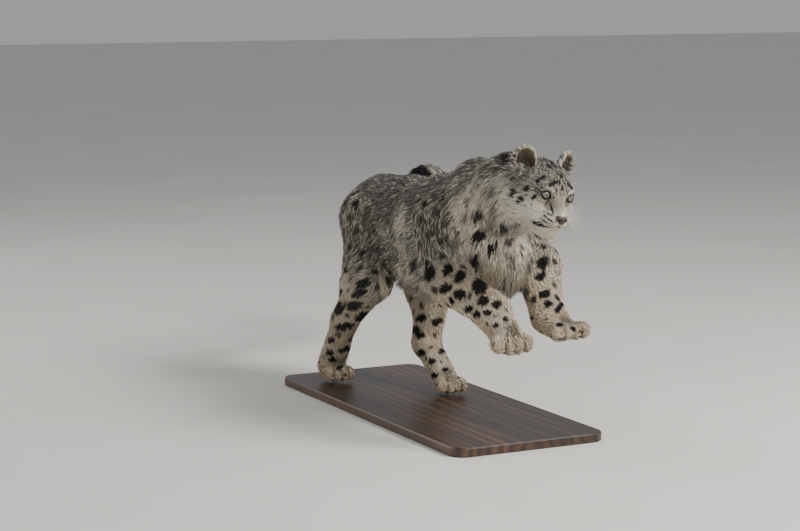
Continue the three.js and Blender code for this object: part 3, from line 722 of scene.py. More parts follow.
def lie_at(p, share, power):
    """Which way the coat lies: back along the body, down the legs, out to the tail's tip."""
    ahead = BASE_MIDDLE - p[:, 1] / MM
    brisket = step(560, 720, ahead)[:, None]
    q = to_head(p)
    total = power["torso"][:, None] * mix(np.array([0, 1, -0.5]), np.array([0, 0.35, -1.0]), brisket)
    total += power["neck"][:, None] * np.array([0, 0.75, -0.8])
    from_nose = unit(p - on_head(0, 96, -22))
    total += power["head"][:, None] * from_nose
    spans = len(TAIL_PLACES) - 1
    along = unit(np.diff(TAIL_PLACES, axis=0))
    total += power["tail"][:, None] * along[np.minimum((share * spans).astype(int), spans - 1)]
    for name, plan in LEGS.items():
        j = plan["joints"]
        ways = np.array([unit(j[k + 1] - j[k]) for k in range(3)] + [unit(plan["toes"]["ahead"] - j[3])])
        down = paw_share(p, plan) * 3.2
        low = np.clip(np.floor(down - 0.2), 0, 3).astype(int)
        way = mix(ways[low], ways[np.minimum(low + 1, 3)], step(0, 1, down - 0.2 - low)[:, None])
        total += power[name][:, None] * (way + np.array([0, 0.25, 0]))
    return total, q


COAT = {  # length, width and how far the tips stand off the skin, in millimetres
    "torso": (34, 3.0, 13), "belly": (58, 4.2, 22), "chest": (46, 3.8, 17), "neck": (40, 3.2, 15),
    "face": (5.5, 1.25, 1.1), "crown": (11, 1.7, 2.2), "cheek": (26, 2.4, 6.5), "thigh": (26, 2.8, 6),
    "leg": (15, 2.2, 5), "paw": (14, 2.2, 5), "tail": (38, 3.6, 15), "ear": (7, 1.5, 1.2),
}


def coat_at(p, normal, power, q):
    """The coat's length, width and stand at each place, in millimetres."""
    ahead = BASE_MIDDLE - p[:, 1] / MM
    under = step(-0.1, -0.7, normal[:, 2])[:, None]
    brisket = step(540, 700, ahead)[:, None]
    kind = {key: np.array(value, float) for key, value in COAT.items()}
    torso = mix(mix(kind["torso"], kind["belly"], under), kind["chest"], brisket)
    back = step(46, -14, q[:, 1])[:, None]
    low = step(16, -34, q[:, 2])[:, None] * step(22, 44, np.abs(q[:, 0]))[:, None]
    head = mix(kind["face"], mix(kind["crown"], kind["cheek"], low), back)
    head = mix(head, kind["ear"], step(52, 66, q[:, 2])[:, None])
    total = power["torso"][:, None] * torso + power["neck"][:, None] * kind["neck"]
    total += power["head"][:, None] * head + power["tail"][:, None] * kind["tail"]
    for name, plan in LEGS.items():
        down = paw_share(p, plan)
        upper = mix(kind["thigh"], kind["leg"], step(0.2, 0.55, down)[:, None])
        total += power[name][:, None] * mix(upper, kind["paw"], step(0.78, 0.98, down)[:, None])
    return total


def spot_rules(power):
    """What each place asks of a spot that grows there: spacing, radius, ring and darkness."""
    legs = sum(power[name] for name in LEGS)
    rules = []
    for table in (SPOT_SPACING, SPOT_RADIUS, ROSETTE, SPOT_DARK):
        rules.append(
            power["torso"] * table["torso"] + power["neck"] * table["neck"] + power["head"] * table["head"]
            + power["tail"] * table["tail"] + legs * table["leg"]
        )
    return rules


def tick_at(p, normal, wide, q):
    """What share of the hairs is dark at each place: most on the back, few on chest and paws."""
    ahead = BASE_MIDDLE - p[:, 1] / MM
    under = step(0.1, -0.6, normal[:, 2])
    chest = step(610, 740, ahead) * step(0.70, 0.56, p[:, 2])
    tick = wide["torso"] * TICK["torso"] * (1 - 0.85 * np.maximum(under, chest))
    throat = step(0.35, -0.4, normal[:, 2] + waves(p, 80, 13) * 0.1)
    tick += wide["neck"] * TICK["neck"] * (1 - 0.9 * throat)
    tick += wide["head"] * TICK["head"] * step(-34, 14, q[:, 2]) * step(84, 44, q[:, 1])
    tick += wide["tail"] * TICK["tail"]
    for name, plan in LEGS.items():
        tick += wide[name] * TICK["leg"] * step(0.5, 0.24, paw_share(p, plan))
    # the patches set the share of dark hairs: fewer in the pale places, more in the painted shade along a
    # fold
    for *patch, darkness in MADE["patches"]:
        soft = off_patch(p, *patch)
        tick = mix(tick, darkness, (1 - step(0.5, 1.2, soft)) * 0.85)
    tick += step(0.45, 0.95, normal[:, 2]) * 0.3 * (wide["torso"] + wide["neck"])
    return tick


def grown_spots(seen):
    """Spots and rosettes over the skin wherever none was listed, from a fixed draw."""
    chance = np.random.default_rng(SEED)
    p, normal, near, power = MADE["places"], MADE["normals"], MADE["near"], MADE["power"]
    spacing, radius, ring, dark = spot_rules(power)
    paws = np.zeros(len(p))
    for name, plan in LEGS.items():
        down = paw_share(p, plan) * (power[name] > 0.5)
        paws = np.maximum(paws, step(0.7, 1.0, down))
    spacing = mix(spacing, SPOT_SPACING["paw"], paws)
    radius = mix(radius, SPOT_RADIUS["paw"], paws)
    q = to_head(p)
    snout = (power["head"] > 0.5) & (q[:, 1] > 48) & (q[:, 2] < 6)
    face = (power["head"] > 0.5) & (q[:, 2] < -34)
    inner = near["torso"] + near["neck"] < -0.08
    taken = np.array([s[0] for s in seen])
    taken_gap = np.array([s[3] / MM + 9 for s in seen])
    places, sizes, kept = list(taken), list(taken_gap), []
    for k in chance.permutation(len(p)):
        if snout[k] or face[k] or inner[k] or chance.random() < 0.55:
            continue
        gaps = np.linalg.norm(np.array(places) - p[k], axis=1) / MM
        if (gaps < np.maximum(spacing[k] * 0.5 + np.array(sizes) * 0.5, spacing[k] * 0.8)).any():
            continue
        places.append(p[k])
        sizes.append(spacing[k])
        kept.append((
            p[k], normal[k], MADE["lie"][k], radius[k] * chance.uniform(0.8, 1.15) * MM, ring[k],
            dark[k] * chance.uniform(0.85, 1.1), chance.uniform(0, 6.28),
        ))
        if len(places) > 1100:
            break
    return kept


def dark_at(p):
    """How dark the markings are at each place, from 0 to 1."""
    dark = np.zeros(len(p))
    wobble = waves(p, 15, 3) * 0.2
    for place, way, side, long, broad in MADE["seen"]:
        close = np.nonzero(np.abs(p - place).max(1) < max(long, broad) * 1.6 + 0.01)[0]
        d = p[close] - place
        flat = np.hypot(d @ way / long, d @ side / broad) + wobble[close]
        deep = np.linalg.norm(d, axis=1) / (2.2 * max(long, broad) + 0.008)
        dark[close] = np.maximum(dark[close], (1 - step(0.8, 1.2, flat)) * (1 - step(0.8, 1.1, deep)))
    for place, normal, lie, radius, ring, depth, turn in MADE["grown"]:
        close = np.nonzero(np.abs(p - place).max(1) < radius * 2)[0]
        d = p[close] - place
        along, across = d @ lie, d @ np.cross(normal, lie)
        r = np.hypot(along / 1.2, across) / radius + wobble[close]
        lumps = step(-0.75, -0.1, np.sin(3 * np.arctan2(across, along) + turn))
        outline = (1 - step(0.14, 0.34, np.abs(r - 0.82))) * lumps
        rosette = np.maximum(outline, 0.28 * (1 - step(0.5, 0.8, r)))
        solid = 1 - step(0.72, 1.1, r)
        dark[close] = np.maximum(dark[close], depth * mix(solid, rosette, ring))
    return dark


def markings(p, normal, near, share, power):
    """What colours the skin and the coat at each place: dark, pale and warm, each from 0 to 1."""
    ahead = BASE_MIDDLE - p[:, 1] / MM
    q = to_head(p)
    wide = softly(near, 0.032)
    tick = tick_at(p, normal, wide, q)
    dark = dark_at(p)
    # the line down the back, in dashes, and the bands and black tip of the tail
    off = np.abs(p[:, 0] - 0.010) / MM + waves(p, 60, 5) * 5
    dashes = 0.55 + 0.45 * np.sin(ahead / 17.0)
    line = (1 - step(5, 13, off)) * step(0.4, 0.8, normal[:, 2]) * power["torso"] * step(560, 430, ahead)
    dark = np.maximum(dark, line * dashes * 0.8)
    bands = step(0.25, 0.7, np.sin(share * 62 + 1.9 + waves(p, 90, 6) * 0.7)) * step(0.62, 0.78, share)
    dark = np.maximum(dark, power["tail"] * np.maximum(bands * 0.75, step(0.965, 0.985, share)))
    # pale below and on the chest, warm on the limbs
    under = step(0.25, -0.6, normal[:, 2] + waves(p, 120, 7) * 0.15)
    chest = step(600, 740, ahead) * step(0.74, 0.60, p[:, 2])
    pale = wide["torso"] * np.maximum(0.3 + 0.7 * under, chest)
    pale += wide["neck"] * np.clip(0.45 + 0.7 * step(0.55, -0.3, normal[:, 2]), 0, 1)
    pale += wide["tail"] * (0.35 + 0.6 * step(0.1, -0.7, normal[:, 2]))
    warm = wide["torso"] * (0.06 + 0.08 * waves(p, 160, 10))
    for name, plan in LEGS.items():
        low_leg = step(0.28, 0.62, paw_share(p, plan))
        pale += wide[name] * mix(0.35, 0.85, low_leg)
        warm += wide[name] * mix(0.08, 0.42 + 0.14 * waves(p, 90, 9), low_leg)
    # the patches set how pale the ground is: pale places, and a narrow painted shade along a fold
    for *patch, darkness in MADE["patches"]:
        soft = off_patch(p, *patch)
        pale = mix(pale, 1 - darkness, 1 - step(0.5, 1.25, soft))
    # painted shade in the furrows between the toes
    for name, plan in LEGS.items():
        _, furrow = paw_field(p, plan)
        dark = np.maximum(dark, furrow * 0.6 * (power[name] > 0.4))
    # the head: white below, grey above, with pale marks above and below each eye
    low = step(4, -30, q[:, 2] + waves(p, 22, 11) * 3)
    snout = step(58, 86, q[:, 1]) * step(0, -22, q[:, 2])
    head = 0.16 + 0.7 * np.maximum(low, snout * step(10, 18, np.abs(q[:, 0])))
    for side in SIDES:
        _, e = almond(side, p)
        over = np.hypot((e[:, 0] + SIDES[side] * 1.0) / 15, (e[:, 1] - 17) / 6)
        under_eye = np.hypot(e[:, 0] / 17, (e[:, 1] + 15) / 6.5)
        glow = np.maximum(1 - step(0.5, 1.3, over), 1 - step(0.5, 1.3, under_eye))
        head = np.maximum(head, glow * (e[:, 2] > -8))
    pale = mix(pale, np.clip(head, 0, 1), power["head"])
    warm = mix(warm, 0.12 * step(20, 70, q[:, 1]) * (1 - low), power["head"])
    for side in SIDES:
        opening, e = almond(side, p)
        rim = 1 - step(3.2, 6.0, np.abs(opening) + np.where(e[:, 2] > 2, 0, 30))
        inner = e[:, 0] * SIDES[side]
        corner = 1 - step(0.6, 1.2, np.hypot((inner + 13) / 6.5, (e[:, 1] + 1) / 6))
        rim = np.maximum(rim, corner * (e[:, 2] > -10))
        tear = np.abs(inner + 15 + 0.12 * np.clip(-e[:, 1], 0, 40)) / 2.6
        tear = (1 - step(0.6, 1.5, tear)) * step(3, -2, e[:, 1]) * step(-34, -20, e[:, 1]) * (e[:, 2] > -14)
        outer = 1 - step(0.5, 1.2, np.hypot((inner - 19 - 0.3 * e[:, 1]) / 8, (e[:, 1] - 2) / 2.6))
        rim = np.maximum(rim, outer * 0.8 * (e[:, 2] > -16))
        dark = np.maximum(dark, np.maximum(rim, tear * 0.8) * (power["head"] > 0.3))
        leaf, cup = ear_field(side, p)
        on_ear = (np.abs(leaf) < 0.0035) & (q[:, 2] > 60)
        in_cup = (cup < 0.0045) & (q[:, 2] > 46) & (power["head"] > 0.3)
        # inside the ear's cup: pale hairs near its rim, and deeper in the hollow warm skin under painted
        # shade, darkest low down
        deep = step(0.005, 0.001, cup)
        pale = np.where(in_cup, mix(0.8, 0.05, deep), pale)
        warm = np.where(in_cup, mix(0.3, 0.7, deep), warm)
        dark = np.where(in_cup, (0.72 + 0.18 * step(84, 60, q[:, 2])) * deep, dark)
        tick = np.where(on_ear | in_cup, 0.05, tick)
        rear = on_ear & ~in_cup & (normal @ head_way(0, 1, 0) < 0.1)
        spot = np.hypot((q[:, 0] - SIDES[side] * 70) / 15, (q[:, 2] - 84) / 13)
        dark = np.where(rear, np.maximum(dark, 0.85 * step(0.7, 1.2, spot)), dark)
        pale = np.where(on_ear & ~in_cup & ~rear, 0.85, pale)
    corners = step(14, 34, np.abs(q[:, 0]))
    lips = 1 - step(2.4, 4.2, chain(p, LIP_PLACES) - 1.3 * corners)
    nostrils = 1 - step(0.7, 1.2, np.hypot((np.abs(q[:, 0]) - 15) / 5.5, (q[:, 2] + 34) / 8))
    lips = np.maximum(lips, nostrils * (q[:, 1] > 84) * 0.8)
    dark = np.maximum(dark, lips * (power["head"] > 0.3))
    slope = q[:, 2] + (q[:, 1] - 80) * 0.3
    rows = step(0.45, 0.8, np.sin(slope * 2 * math.pi / 6.5) * 0.5 + 0.5)
    rows *= step(-0.5, 0.2, np.sin(q[:, 1] * 0.62 + slope)) * step(52, 62, q[:, 1])
    rows *= step(-58, -54, slope) * step(-29, -34, slope) * step(14, 19, np.abs(q[:, 0]))
    dark = np.maximum(dark, rows * 0.85 * (power["head"] > 0.5))
    # streaks up the forehead and the crown, along the lie of the coat
    arc = np.arctan2(q[:, 2] + 20, q[:, 1] + 20)
    column = q[:, 0] / (5.2 + 3.2 * step(0.6, 1.6, arc)) + waves(p, 45, 14) * 0.25
    streaks = step(0.05, 0.6, np.cos(2 * math.pi * column))
    streaks *= step(-0.35, 0.25, np.sin(arc * 21 + np.round(column) * 2.4 + waves(p, 30, 15) * 0.6))
    crown = step(0.32, 0.5, arc) * step(2.9, 2.2, arc) * step(44, 32, np.abs(q[:, 0]))
    dark = np.maximum(dark, streaks * crown * 0.9 * power["head"])
    return np.clip(dark, 0, 1), np.clip(pale, 0, 1), np.clip(warm, 0, 1), np.clip(tick, 0, 1)


def linear(text):
    """A colour from its web form, as the linear red, green, blue and alpha that shaders read."""
    parts = [int(text[k : k + 2], 16) / 255 for k in (0, 2, 4)]
    return tuple(c / 12.92 if c < 0.04045 else ((c + 0.055) / 1.055) ** 2.4 for c in parts) + (1.0,)


class Finish:
    """One material's nodes, with short ways to add and join them."""

    def __init__(self, name):
        self.material = bpy.data.materials.new(name)
        self.material.use_nodes = True
        self.tree = self.material.node_tree
        self.shader = self.tree.nodes["Principled BSDF"]

    def node(self, kind, **settings):
        """A new node with its settings made."""
        node = self.tree.nodes.new(kind)
        for key, value in settings.items():
            setattr(node, key, value)
        return node

    def join(self, value, socket):
        """Puts a value, or another node's output, into a socket."""
        if isinstance(value, bpy.types.NodeSocket):
            self.tree.links.new(value, socket)
        else:
            socket.default_value = value
        return socket

    def attribute(self, name):
        """A number that the mesh carries at each place."""
        return self.node("ShaderNodeAttribute", attribute_name=name).outputs["Fac"]

    def math(self, kind, a, b=0.0, c=0.0):
        """One sum."""
        node = self.node("ShaderNodeMath", operation=kind)
        for value, socket in zip((a, b, c), node.inputs):
            self.join(value, socket)
        return node.outputs[0]

    def blend(self, a, b, share, kind="MIX"):
        """A colour between two others."""
        node = self.node("ShaderNodeMix", data_type="RGBA", blend_type=kind)
        self.join(share, node.inputs[0])
        self.join(a, node.inputs[6])
        self.join(b, node.inputs[7])
        return node.outputs[2]

    def place(self):
        """The object's own coordinates, in metres."""
        return self.node("ShaderNodeTexCoord").outputs["Object"]

    def noise(self, scale, detail=3.0, vector=None):
        """Soft noise from 0 to 1."""
        node = self.node("ShaderNodeTexNoise")
        self.join(vector or self.place(), node.inputs["Vector"])
        node.inputs["Scale"].default_value = scale
        node.inputs["Detail"].default_value = detail
        return node.outputs["Fac"]

    def span(self, value, low, high, to_low=0.0, to_high=1.0):
        """A number moved from one range to another."""
        node = self.node("ShaderNodeMapRange")
        for key, number in (("Value", value), ("From Min", low), ("From Max", high)):
            self.join(number, node.inputs[key])
        node.inputs["To Min"].default_value = to_low
        node.inputs["To Max"].default_value = to_high
        return node.outputs[0]

    def colour(self, value):
        """Sets the base colour."""
        self.join(value, self.shader.inputs["Base Color"])

    def bump(self, height, strength, distance):
        """Raises the surface in the shading by a height from 0 to 1."""
        node = self.node("ShaderNodeBump")
        node.inputs["Strength"].default_value = strength
        node.inputs["Distance"].default_value = distance
        self.join(height, node.inputs["Height"])
        self.join(node.outputs[0], self.shader.inputs["Normal"])

    def constant(self, **values):
        """Sets the shader's own sockets that are the same all over."""
        for key, value in values.items():
            self.shader.inputs[key.replace("_", " ")].default_value = value


def coat_finish(name, on_skin):
    """The coat's colours, alike on the skin and on its tufts, from what the mesh carries."""
    colours = bpy.context.scene.leopard_colours
    finish = Finish(name)
    base = finish.blend(tuple(colours.grey), tuple(colours.cream), finish.attribute("pale"))
    base = finish.blend(base, tuple(colours.buff), finish.attribute("warm"))
    cloud = finish.span(finish.noise(26.0), 0.3, 0.7, 0.86, 1.08)
    if on_skin:
        tone = finish.math("MULTIPLY", cloud, finish.span(finish.noise(420.0), 0.3, 0.7, 0.7, 1.0))
    else:
        shade = finish.span(finish.attribute("chance"), 0.0, 1.0, 0.74, 1.1)
        # each tuft darker at its root than at its tip: the coat's darker undercolour, and painted shade
        # deep among the hairs
        tip = finish.span(finish.attribute("strand"), 0.0, 1.0, 0.66, 1.08)
        tone = finish.math("MULTIPLY", cloud, finish.math("MULTIPLY", shade, tip))
    grey = finish.node("ShaderNodeCombineColor")
    for socket in grey.inputs:
        finish.join(tone, socket)
    base = finish.blend(base, grey.outputs[0], 1.0, "MULTIPLY")
    # the blend to black follows the markings and the painted shade that each place carries
    finish.colour(finish.blend(base, tuple(colours.black), finish.attribute("marks_and_shade")))
    finish.constant(Roughness=0.72, Sheen_Weight=0.08, Sheen_Roughness=0.45, Specular_IOR_Level=0.28)
    if on_skin:
        finish.bump(finish.noise(700.0, 4.0), 0.5, 0.002)
    return finish.material


def build_skin():
    """The skin's places, faces and what they carry, kept for the coat to grow on."""
    lows = CAD_BOX[0]
    highs = CAD_BOX[1]
    margin = 0.03
    reach = 0.17
    low = np.array([lows[0], lows[1], BASE_THICK * MM]) - margin
    high = np.array([highs[0], highs[1], highs[2]]) + margin
    behind = on_head(0, -66, 0)
    back = head_way(0, 1, 0)

    def body(p):
        ahead = (p - behind) @ back
        inside = reach - np.linalg.norm(p - HEAD_MIDDLE, axis=1)
        value = skin_field(p) + step(-0.03, 0.0, ahead) * (inside > 0) * 0.0015
        return np.maximum(value, np.minimum(ahead - 0.008, inside))

    def head(p):
        return np.maximum(face_field(p), -(p - behind) @ back)

    cell = BODY_CELL * MM
    places, faces = surface(sample(body, low, high, cell), low, cell)
    places = relax(places, faces)
    fine = HEAD_CELL * MM
    head_low = on_head(0, 20, 6) - reach
    head_places, head_faces = surface(
        sample(head, head_low, head_low + 2 * reach, fine), head_low, fine
    )
    head_places = relax(head_places, head_faces, 1, 0.4)
    faces = np.concatenate([faces, head_faces + len(places)])
    places = np.concatenate([places, head_places])
    MADE["places"], MADE["faces"] = places, faces
    MADE["normals"] = normals_of(places, faces)
    near, share = parts_of(places)
    MADE["near"], MADE["share"] = near, share
    MADE["power"] = softly(near)
    lie, _ = lie_at(places, share, MADE["power"])
    lie -= (lie * MADE["normals"]).sum(1, keepdims=True) * MADE["normals"]
    MADE["lie"] = unit(lie)
    tree = BVHTree.FromPolygons(places.tolist(), faces.tolist())
    MADE["seen"] = seen_spots(tree)
    MADE["patches"] = seen_patches(tree)
    MADE["grown"] = grown_spots(MADE["seen"])
    return places, faces


# The coat: its pieces, where each grows and how many tufts it has.
COAT_PIECES = {
    "coat_head": 19000, "coat_neck": 17000, "coat_shoulders": 16500, "coat_flanks": 16500,
    "coat_rump": 15000, "coat_fore_right": 11500, "coat_fore_left": 11000, "coat_hind_right": 11500,
    "coat_hind_left": 11000, "coat_tail": 15500,
}
CLUMP = 19.0  # how far apart the clumps of the long coat are, in millimetres
TICK_CELL = 8.0  # how far apart the dark and the light hairs gather, in millimetres
PATCH = 0.003  # how wide a tuft's patch is on the map that its colours are kept on
TUFT_FACES = np.array([
    (0, 1, 4), (0, 4, 3), (1, 2, 5), (1, 5, 4), (2, 0, 3), (2, 3, 5),
    (3, 4, 6), (4, 5, 6), (5, 3, 6), (0, 2, 1),
])
# how far along its tuft each corner lies, which the finish uses to darken the root as undercolour and
# painted shade
TUFT_STRAND = np.array([0, 0, 0.1, 0.5, 0.5, 0.62, 1.0])
TUFT_UV = np.array([(-0.5, 0), (0.5, 0), (0, 0), (-0.5, 0.5), (0.5, 0.5), (0, 0.5), (0, 1.0)])


def piece_of(p, near):
    """Which piece of the coat each place belongs to."""
    names = list(near)
    closest = np.argmin(np.stack([near[n] for n in names], 1), 1)
    ahead = BASE_MIDDLE - p[:, 1] / MM
    torso = np.where(ahead > 520, "coat_shoulders", np.where(ahead > 240, "coat_flanks", "coat_rump"))
    named = np.array([f"coat_{n}" for n in names])[closest]
    return np.where(named == "coat_torso", torso, named)


def unwrap(piece, p, share):
    """Where each place falls on an unwrap of the skin's own shape, from 0 to 1 each way."""
    if piece == "coat_head":
        q = to_head(p) - np.array([0, 0, -10.0])
        return np.arctan2(q[:, 0], q[:, 1]) / (2 * math.pi) + 0.5, np.arctan2(
            q[:, 2], np.hypot(q[:, 0], q[:, 1])
        ) / math.pi + 0.5
    if piece == "coat_tail":
        spans = len(TAIL_PLACES) - 1
        index = np.minimum((share * spans).astype(int), spans - 1)
        along = unit(np.diff(TAIL_PLACES, axis=0))[index]
        side = unit(np.cross(along, np.array([0, 0, 1.0])))
        d = p - TAIL_PLACES[index]
        turn = np.arctan2((d * side).sum(1), (d * np.cross(side, along)).sum(1))
        return turn / (2 * math.pi) + 0.5, share
    limb_name = piece.removeprefix("coat_")
    if limb_name in LEGS:
        plan = LEGS[limb_name]
        down = paw_share(p, plan)
        j = np.array(plan["joints"])
        middle = np.stack([np.interp(down, np.linspace(0, 1, 4), j[:, k]) for k in range(3)], 1)
        d = p - middle
        return np.arctan2(d[:, 0], d[:, 1]) / (2 * math.pi) + 0.5, down
    start, end = (NECK[2], NECK[0]) if piece == "coat_neck" else (SPINE[4], SPINE[0])
    along = unit(end - start)
    side = unit(np.cross(along, np.array([0, 0, 1.0])))
    d = p - start
    turn = np.arctan2(d @ side, d @ np.cross(side, along))
    return turn / (2 * math.pi) + 0.5, np.clip(d @ along / np.linalg.norm(end - start) * 0.7 + 0.15, 0, 1)


def bare(p):
    """Where no tuft grows: the eyes, the lids' rims, the mouth's line and the nose leather."""
    q = to_head(p)
    none = np.abs(chain(p, LIP_PLACES)) < 2.4
    for side in SIDES:
        opening, _ = almond(side, p)
        none |= opening < 1.6
        _, cup = ear_field(side, p)
        thin = np.random.default_rng(SEED).random(len(p)) < 0.55
        none |= (cup < 0.003) & (q[:, 2] > 50) & thin
    low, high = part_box("nose")
    inside = np.all((p > np.array(low) + 0.001) & (p < np.array(high) - 0.001), axis=1)
    return (none | inside) & (np.linalg.norm(p - HEAD_MIDDLE, axis=1) < 0.2)


def grow(piece, count, chance):
    """Draws the roots of a piece's tufts on the skin, and makes their mesh and what it carries."""
    settings = bpy.context.scene.leopard_coat
    faces = MADE["faces"][MADE["face_piece"] == piece]
    corners = MADE["places"][faces]
    size = np.linalg.norm(np.cross(corners[:, 2] - corners[:, 0], corners[:, 3] - corners[:, 1]), axis=1)
    need = MADE["cover"][faces].mean(1) * size
    count = int(count * settings.density)
    pick = chance.choice(len(faces), count, p=need / need.sum())
    u, v = chance.random((2, count, 1))
    weights = np.concatenate([(1 - u) * (1 - v), u * (1 - v), u * v, (1 - u) * v], 1)
    blend = lambda values: np.einsum("nk,nk...->n...", weights, values[faces[pick]])
    root, normal, lie = blend(MADE["places"]), unit(blend(MADE["normals"])), unit(blend(MADE["lie"]))
    measure, share = blend(MADE["measure"]), blend(MADE["share"])
    keep = ~bare(root)
    root, normal, lie, measure, share = (x[keep] for x in (root, normal, lie, measure, share))
    count = len(root)
    length = measure[:, 0] * MM * chance.uniform(0.75, 1.25, count) * settings.length
    width = measure[:, 1] * MM * chance.uniform(0.8, 1.25, count)
    stand = measure[:, 2] * MM * chance.uniform(0.45, 1.05, count) * settings.stand
    side = unit(np.cross(normal, lie))
    cell = np.floor(root / (CLUMP * MM))
    middle = np.stack([hash_noise(cell, k) for k in range(3)], 1)
    middle = (cell + 0.2 + 0.6 * middle) * CLUMP * MM
    pull = ((middle - root) * side).sum(1) * np.clip(length / 0.03, 0, 1) * settings.clump
    sway = waves(root, 110, 12) * 0.16 + chance.normal(0, 0.12, count)
    lift = 0.85 + 0.3 * hash_noise(cell, 7)
    tip_way = unit(lie + side * sway[:, None])
    mid = root + tip_way * (length * 0.42)[:, None] + normal * (stand * 0.72 * lift)[:, None]
    mid += side * (pull * 0.35)[:, None]
    droop = np.array([0, 0, -1.0]) * (length * 0.14 * step(0.02, 0.05, length))[:, None]
    tip = root + tip_way * length[:, None] + normal * (stand * lift)[:, None] + side * pull[:, None] + droop
    half, thick = side * (width / 2)[:, None], normal * (width * 0.4)[:, None]
    start = root - normal * (0.6 * MM + width[:, None] * 0.3)
    spots = np.stack([
        start - half * 0.8, start + half * 0.8, start + thick, mid - half, mid + half, mid + thick, tip,
    ], 1)
    centre = root + lie * (length * 0.42)[:, None]
    near, tail_share = parts_of(root)
    power = softly(near)
    dark, pale, warm, tick = markings(centre * 0.75 + root * 0.25, normal, near, share, power)
    fine_cell = hash_noise(np.floor(root / (TICK_CELL * MM)), 5)
    ticked = 0.55 * chance.random(count) + 0.45 * fine_cell < 0.12 + 0.6 * tick
    dark = np.maximum(dark, ticked * np.clip(tick * 1.6, 0, 1) * chance.uniform(0.55, 0.95, count))
    ones = np.ones(7)
    carried = {
        "marks_and_shade": np.outer(dark, ones), "pale": np.outer(pale, ones), "warm": np.outer(warm, ones),
        "strand": np.outer(np.ones(count), TUFT_STRAND),
        "chance": np.outer(0.6 * chance.random(count) + 0.4 * hash_noise(cell, 9), ones),
    }
    map_u, map_v = unwrap(piece, root, tail_share)
    flat = np.stack([map_u, map_v], 1) * (1 - 2 * PATCH) + PATCH
    flat = flat[:, None, :] + TUFT_UV[None] * PATCH
    index = (np.arange(count)[:, None, None] * 7 + TUFT_FACES[None]).reshape(-1, 3)
    thing = make_mesh(piece, spots.reshape(-1, 3), index, {k: v.ravel() for k, v in carried.items()})
    uv = thing.data.uv_layers.new(name="OFBake")
    uv.data.foreach_set("uv", flat.reshape(-1, 2)[index.ravel()].astype(np.float32).ravel())
    return thing


def finish_piece(thing, material, replaced=()):
    """Gives a piece its material, its body and the solids that it stands for."""
    thing.data.materials.clear()
    thing.data.materials.append(material)
    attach(thing, BODY)
    if replaced:
        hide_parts(*replaced)
    return thing


FLESH = [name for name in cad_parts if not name.startswith(("eye_", "nose", "stand_"))]


class LeopardColours(bpy.types.PropertyGroup):
    """The colours of the coat and the face."""

    grey: FloatVectorProperty(
        name="Grey", description="The back's ground colour", subtype="COLOR", size=4,
        default=linear("a49c90"), min=0, max=1,
    )
    cream: FloatVectorProperty(
        name="Cream", description="The belly, chest and chin", subtype="COLOR", size=4,
        default=linear("efe6d2"), min=0, max=1,
    )
    buff: FloatVectorProperty(
        name="Buff", description="The warm ground colour of the legs", subtype="COLOR", size=4,
        default=linear("cdb08a"), min=0, max=1,
    )
    # the black also colours the painted shade in the toes' furrows and deep in the ears
    black: FloatVectorProperty(
        name="Black", description="The spots, rosettes and lines", subtype="COLOR", size=4,
        default=linear("15110f"), min=0, max=1,
    )
    iris: FloatVectorProperty(
        name="Iris", description="The pale ring round the pupil", subtype="COLOR", size=4,
        default=linear("7f8468"), min=0, max=1,
    )
    leather: FloatVectorProperty(
        name="Nose leather", description="The bare skin of the nose", subtype="COLOR", size=4,
        default=linear("2e2422"), min=0, max=1,
    )


class LeopardCoat(bpy.types.PropertyGroup):
    """How the coat grows."""

    density: FloatProperty(
        name="Density", description="Share of the tufts that grow",
        default=1.0, min=0.05, max=1.0,
    )
    length: FloatProperty(
        name="Length", description="How long the tufts are",
        default=1.0, min=0.3, max=2.0,
    )
    stand: FloatProperty(
        name="Stand", description="How far the tips stand off the skin",
        default=1.0, min=0.0, max=2.0,
    )
    clump: FloatProperty(
        name="Clumping", description="How far tips draw together",
        default=0.55, min=0.0, max=1.0,
    )


class LeopardStage(bpy.types.PropertyGroup):
    """The floor and the lights."""

    key: FloatProperty(
        name="Key light", description="Power of the main light",
        default=330.0, min=0, unit="POWER",
    )
    fill: FloatProperty(
        name="Fill light", description="Power of the soft light",
        default=45.0, min=0, unit="POWER",
    )
    sky: FloatProperty(
        name="Sky", description="Strength of the light from all round",
        default=0.42, min=0,
    )
    floor: FloatProperty(
        name="Floor", description="Side of the floor",
        default=60.0, min=2, unit="LENGTH",
    )


class LEOPARD_OT_skin(bpy.types.Operator):
    """Makes the skin of the whole animal, and its markings"""

    bl_idname = "leopard.skin"
    bl_label = "Skin"

    def execute(self, context):
        places, faces = build_skin()
        power, near, share = MADE["power"], MADE["near"], MADE["share"]
        dark, pale, warm, tick = markings(places, MADE["normals"], near, share, power)
        dark = np.maximum(dark, tick * 0.5)
        skin = make_mesh("skin", places, faces, {"marks_and_shade": dark, "pale": pale, "warm": warm})
        finish_piece(skin, coat_finish("coat over skin", True), FLESH)
        return {"FINISHED"}


class LEOPARD_OT_coat(bpy.types.Operator):
    """Grows the tufts of the coat over the skin"""

    bl_idname = "leopard.coat"
    bl_label = "Coat"

    def execute(self, context):
        places, faces = MADE["places"], MADE["faces"]
        MADE["measure"] = coat_at(places, MADE["normals"], MADE["power"], to_head(places))
        MADE["cover"] = 1 / (MADE["measure"][:, 0] * MADE["measure"][:, 1])
        centres = places[faces].mean(1)
        near = {name: value[faces].mean(1) for name, value in MADE["near"].items()}
        MADE["face_piece"] = piece_of(centres, near)
        material = coat_finish("coat", False)
        for k, (piece, count) in enumerate(COAT_PIECES.items()):
            chance = np.random.default_rng(SEED + k)
            thing = grow(piece, count, chance)
            finish_piece(thing, material)
        return {"FINISHED"}


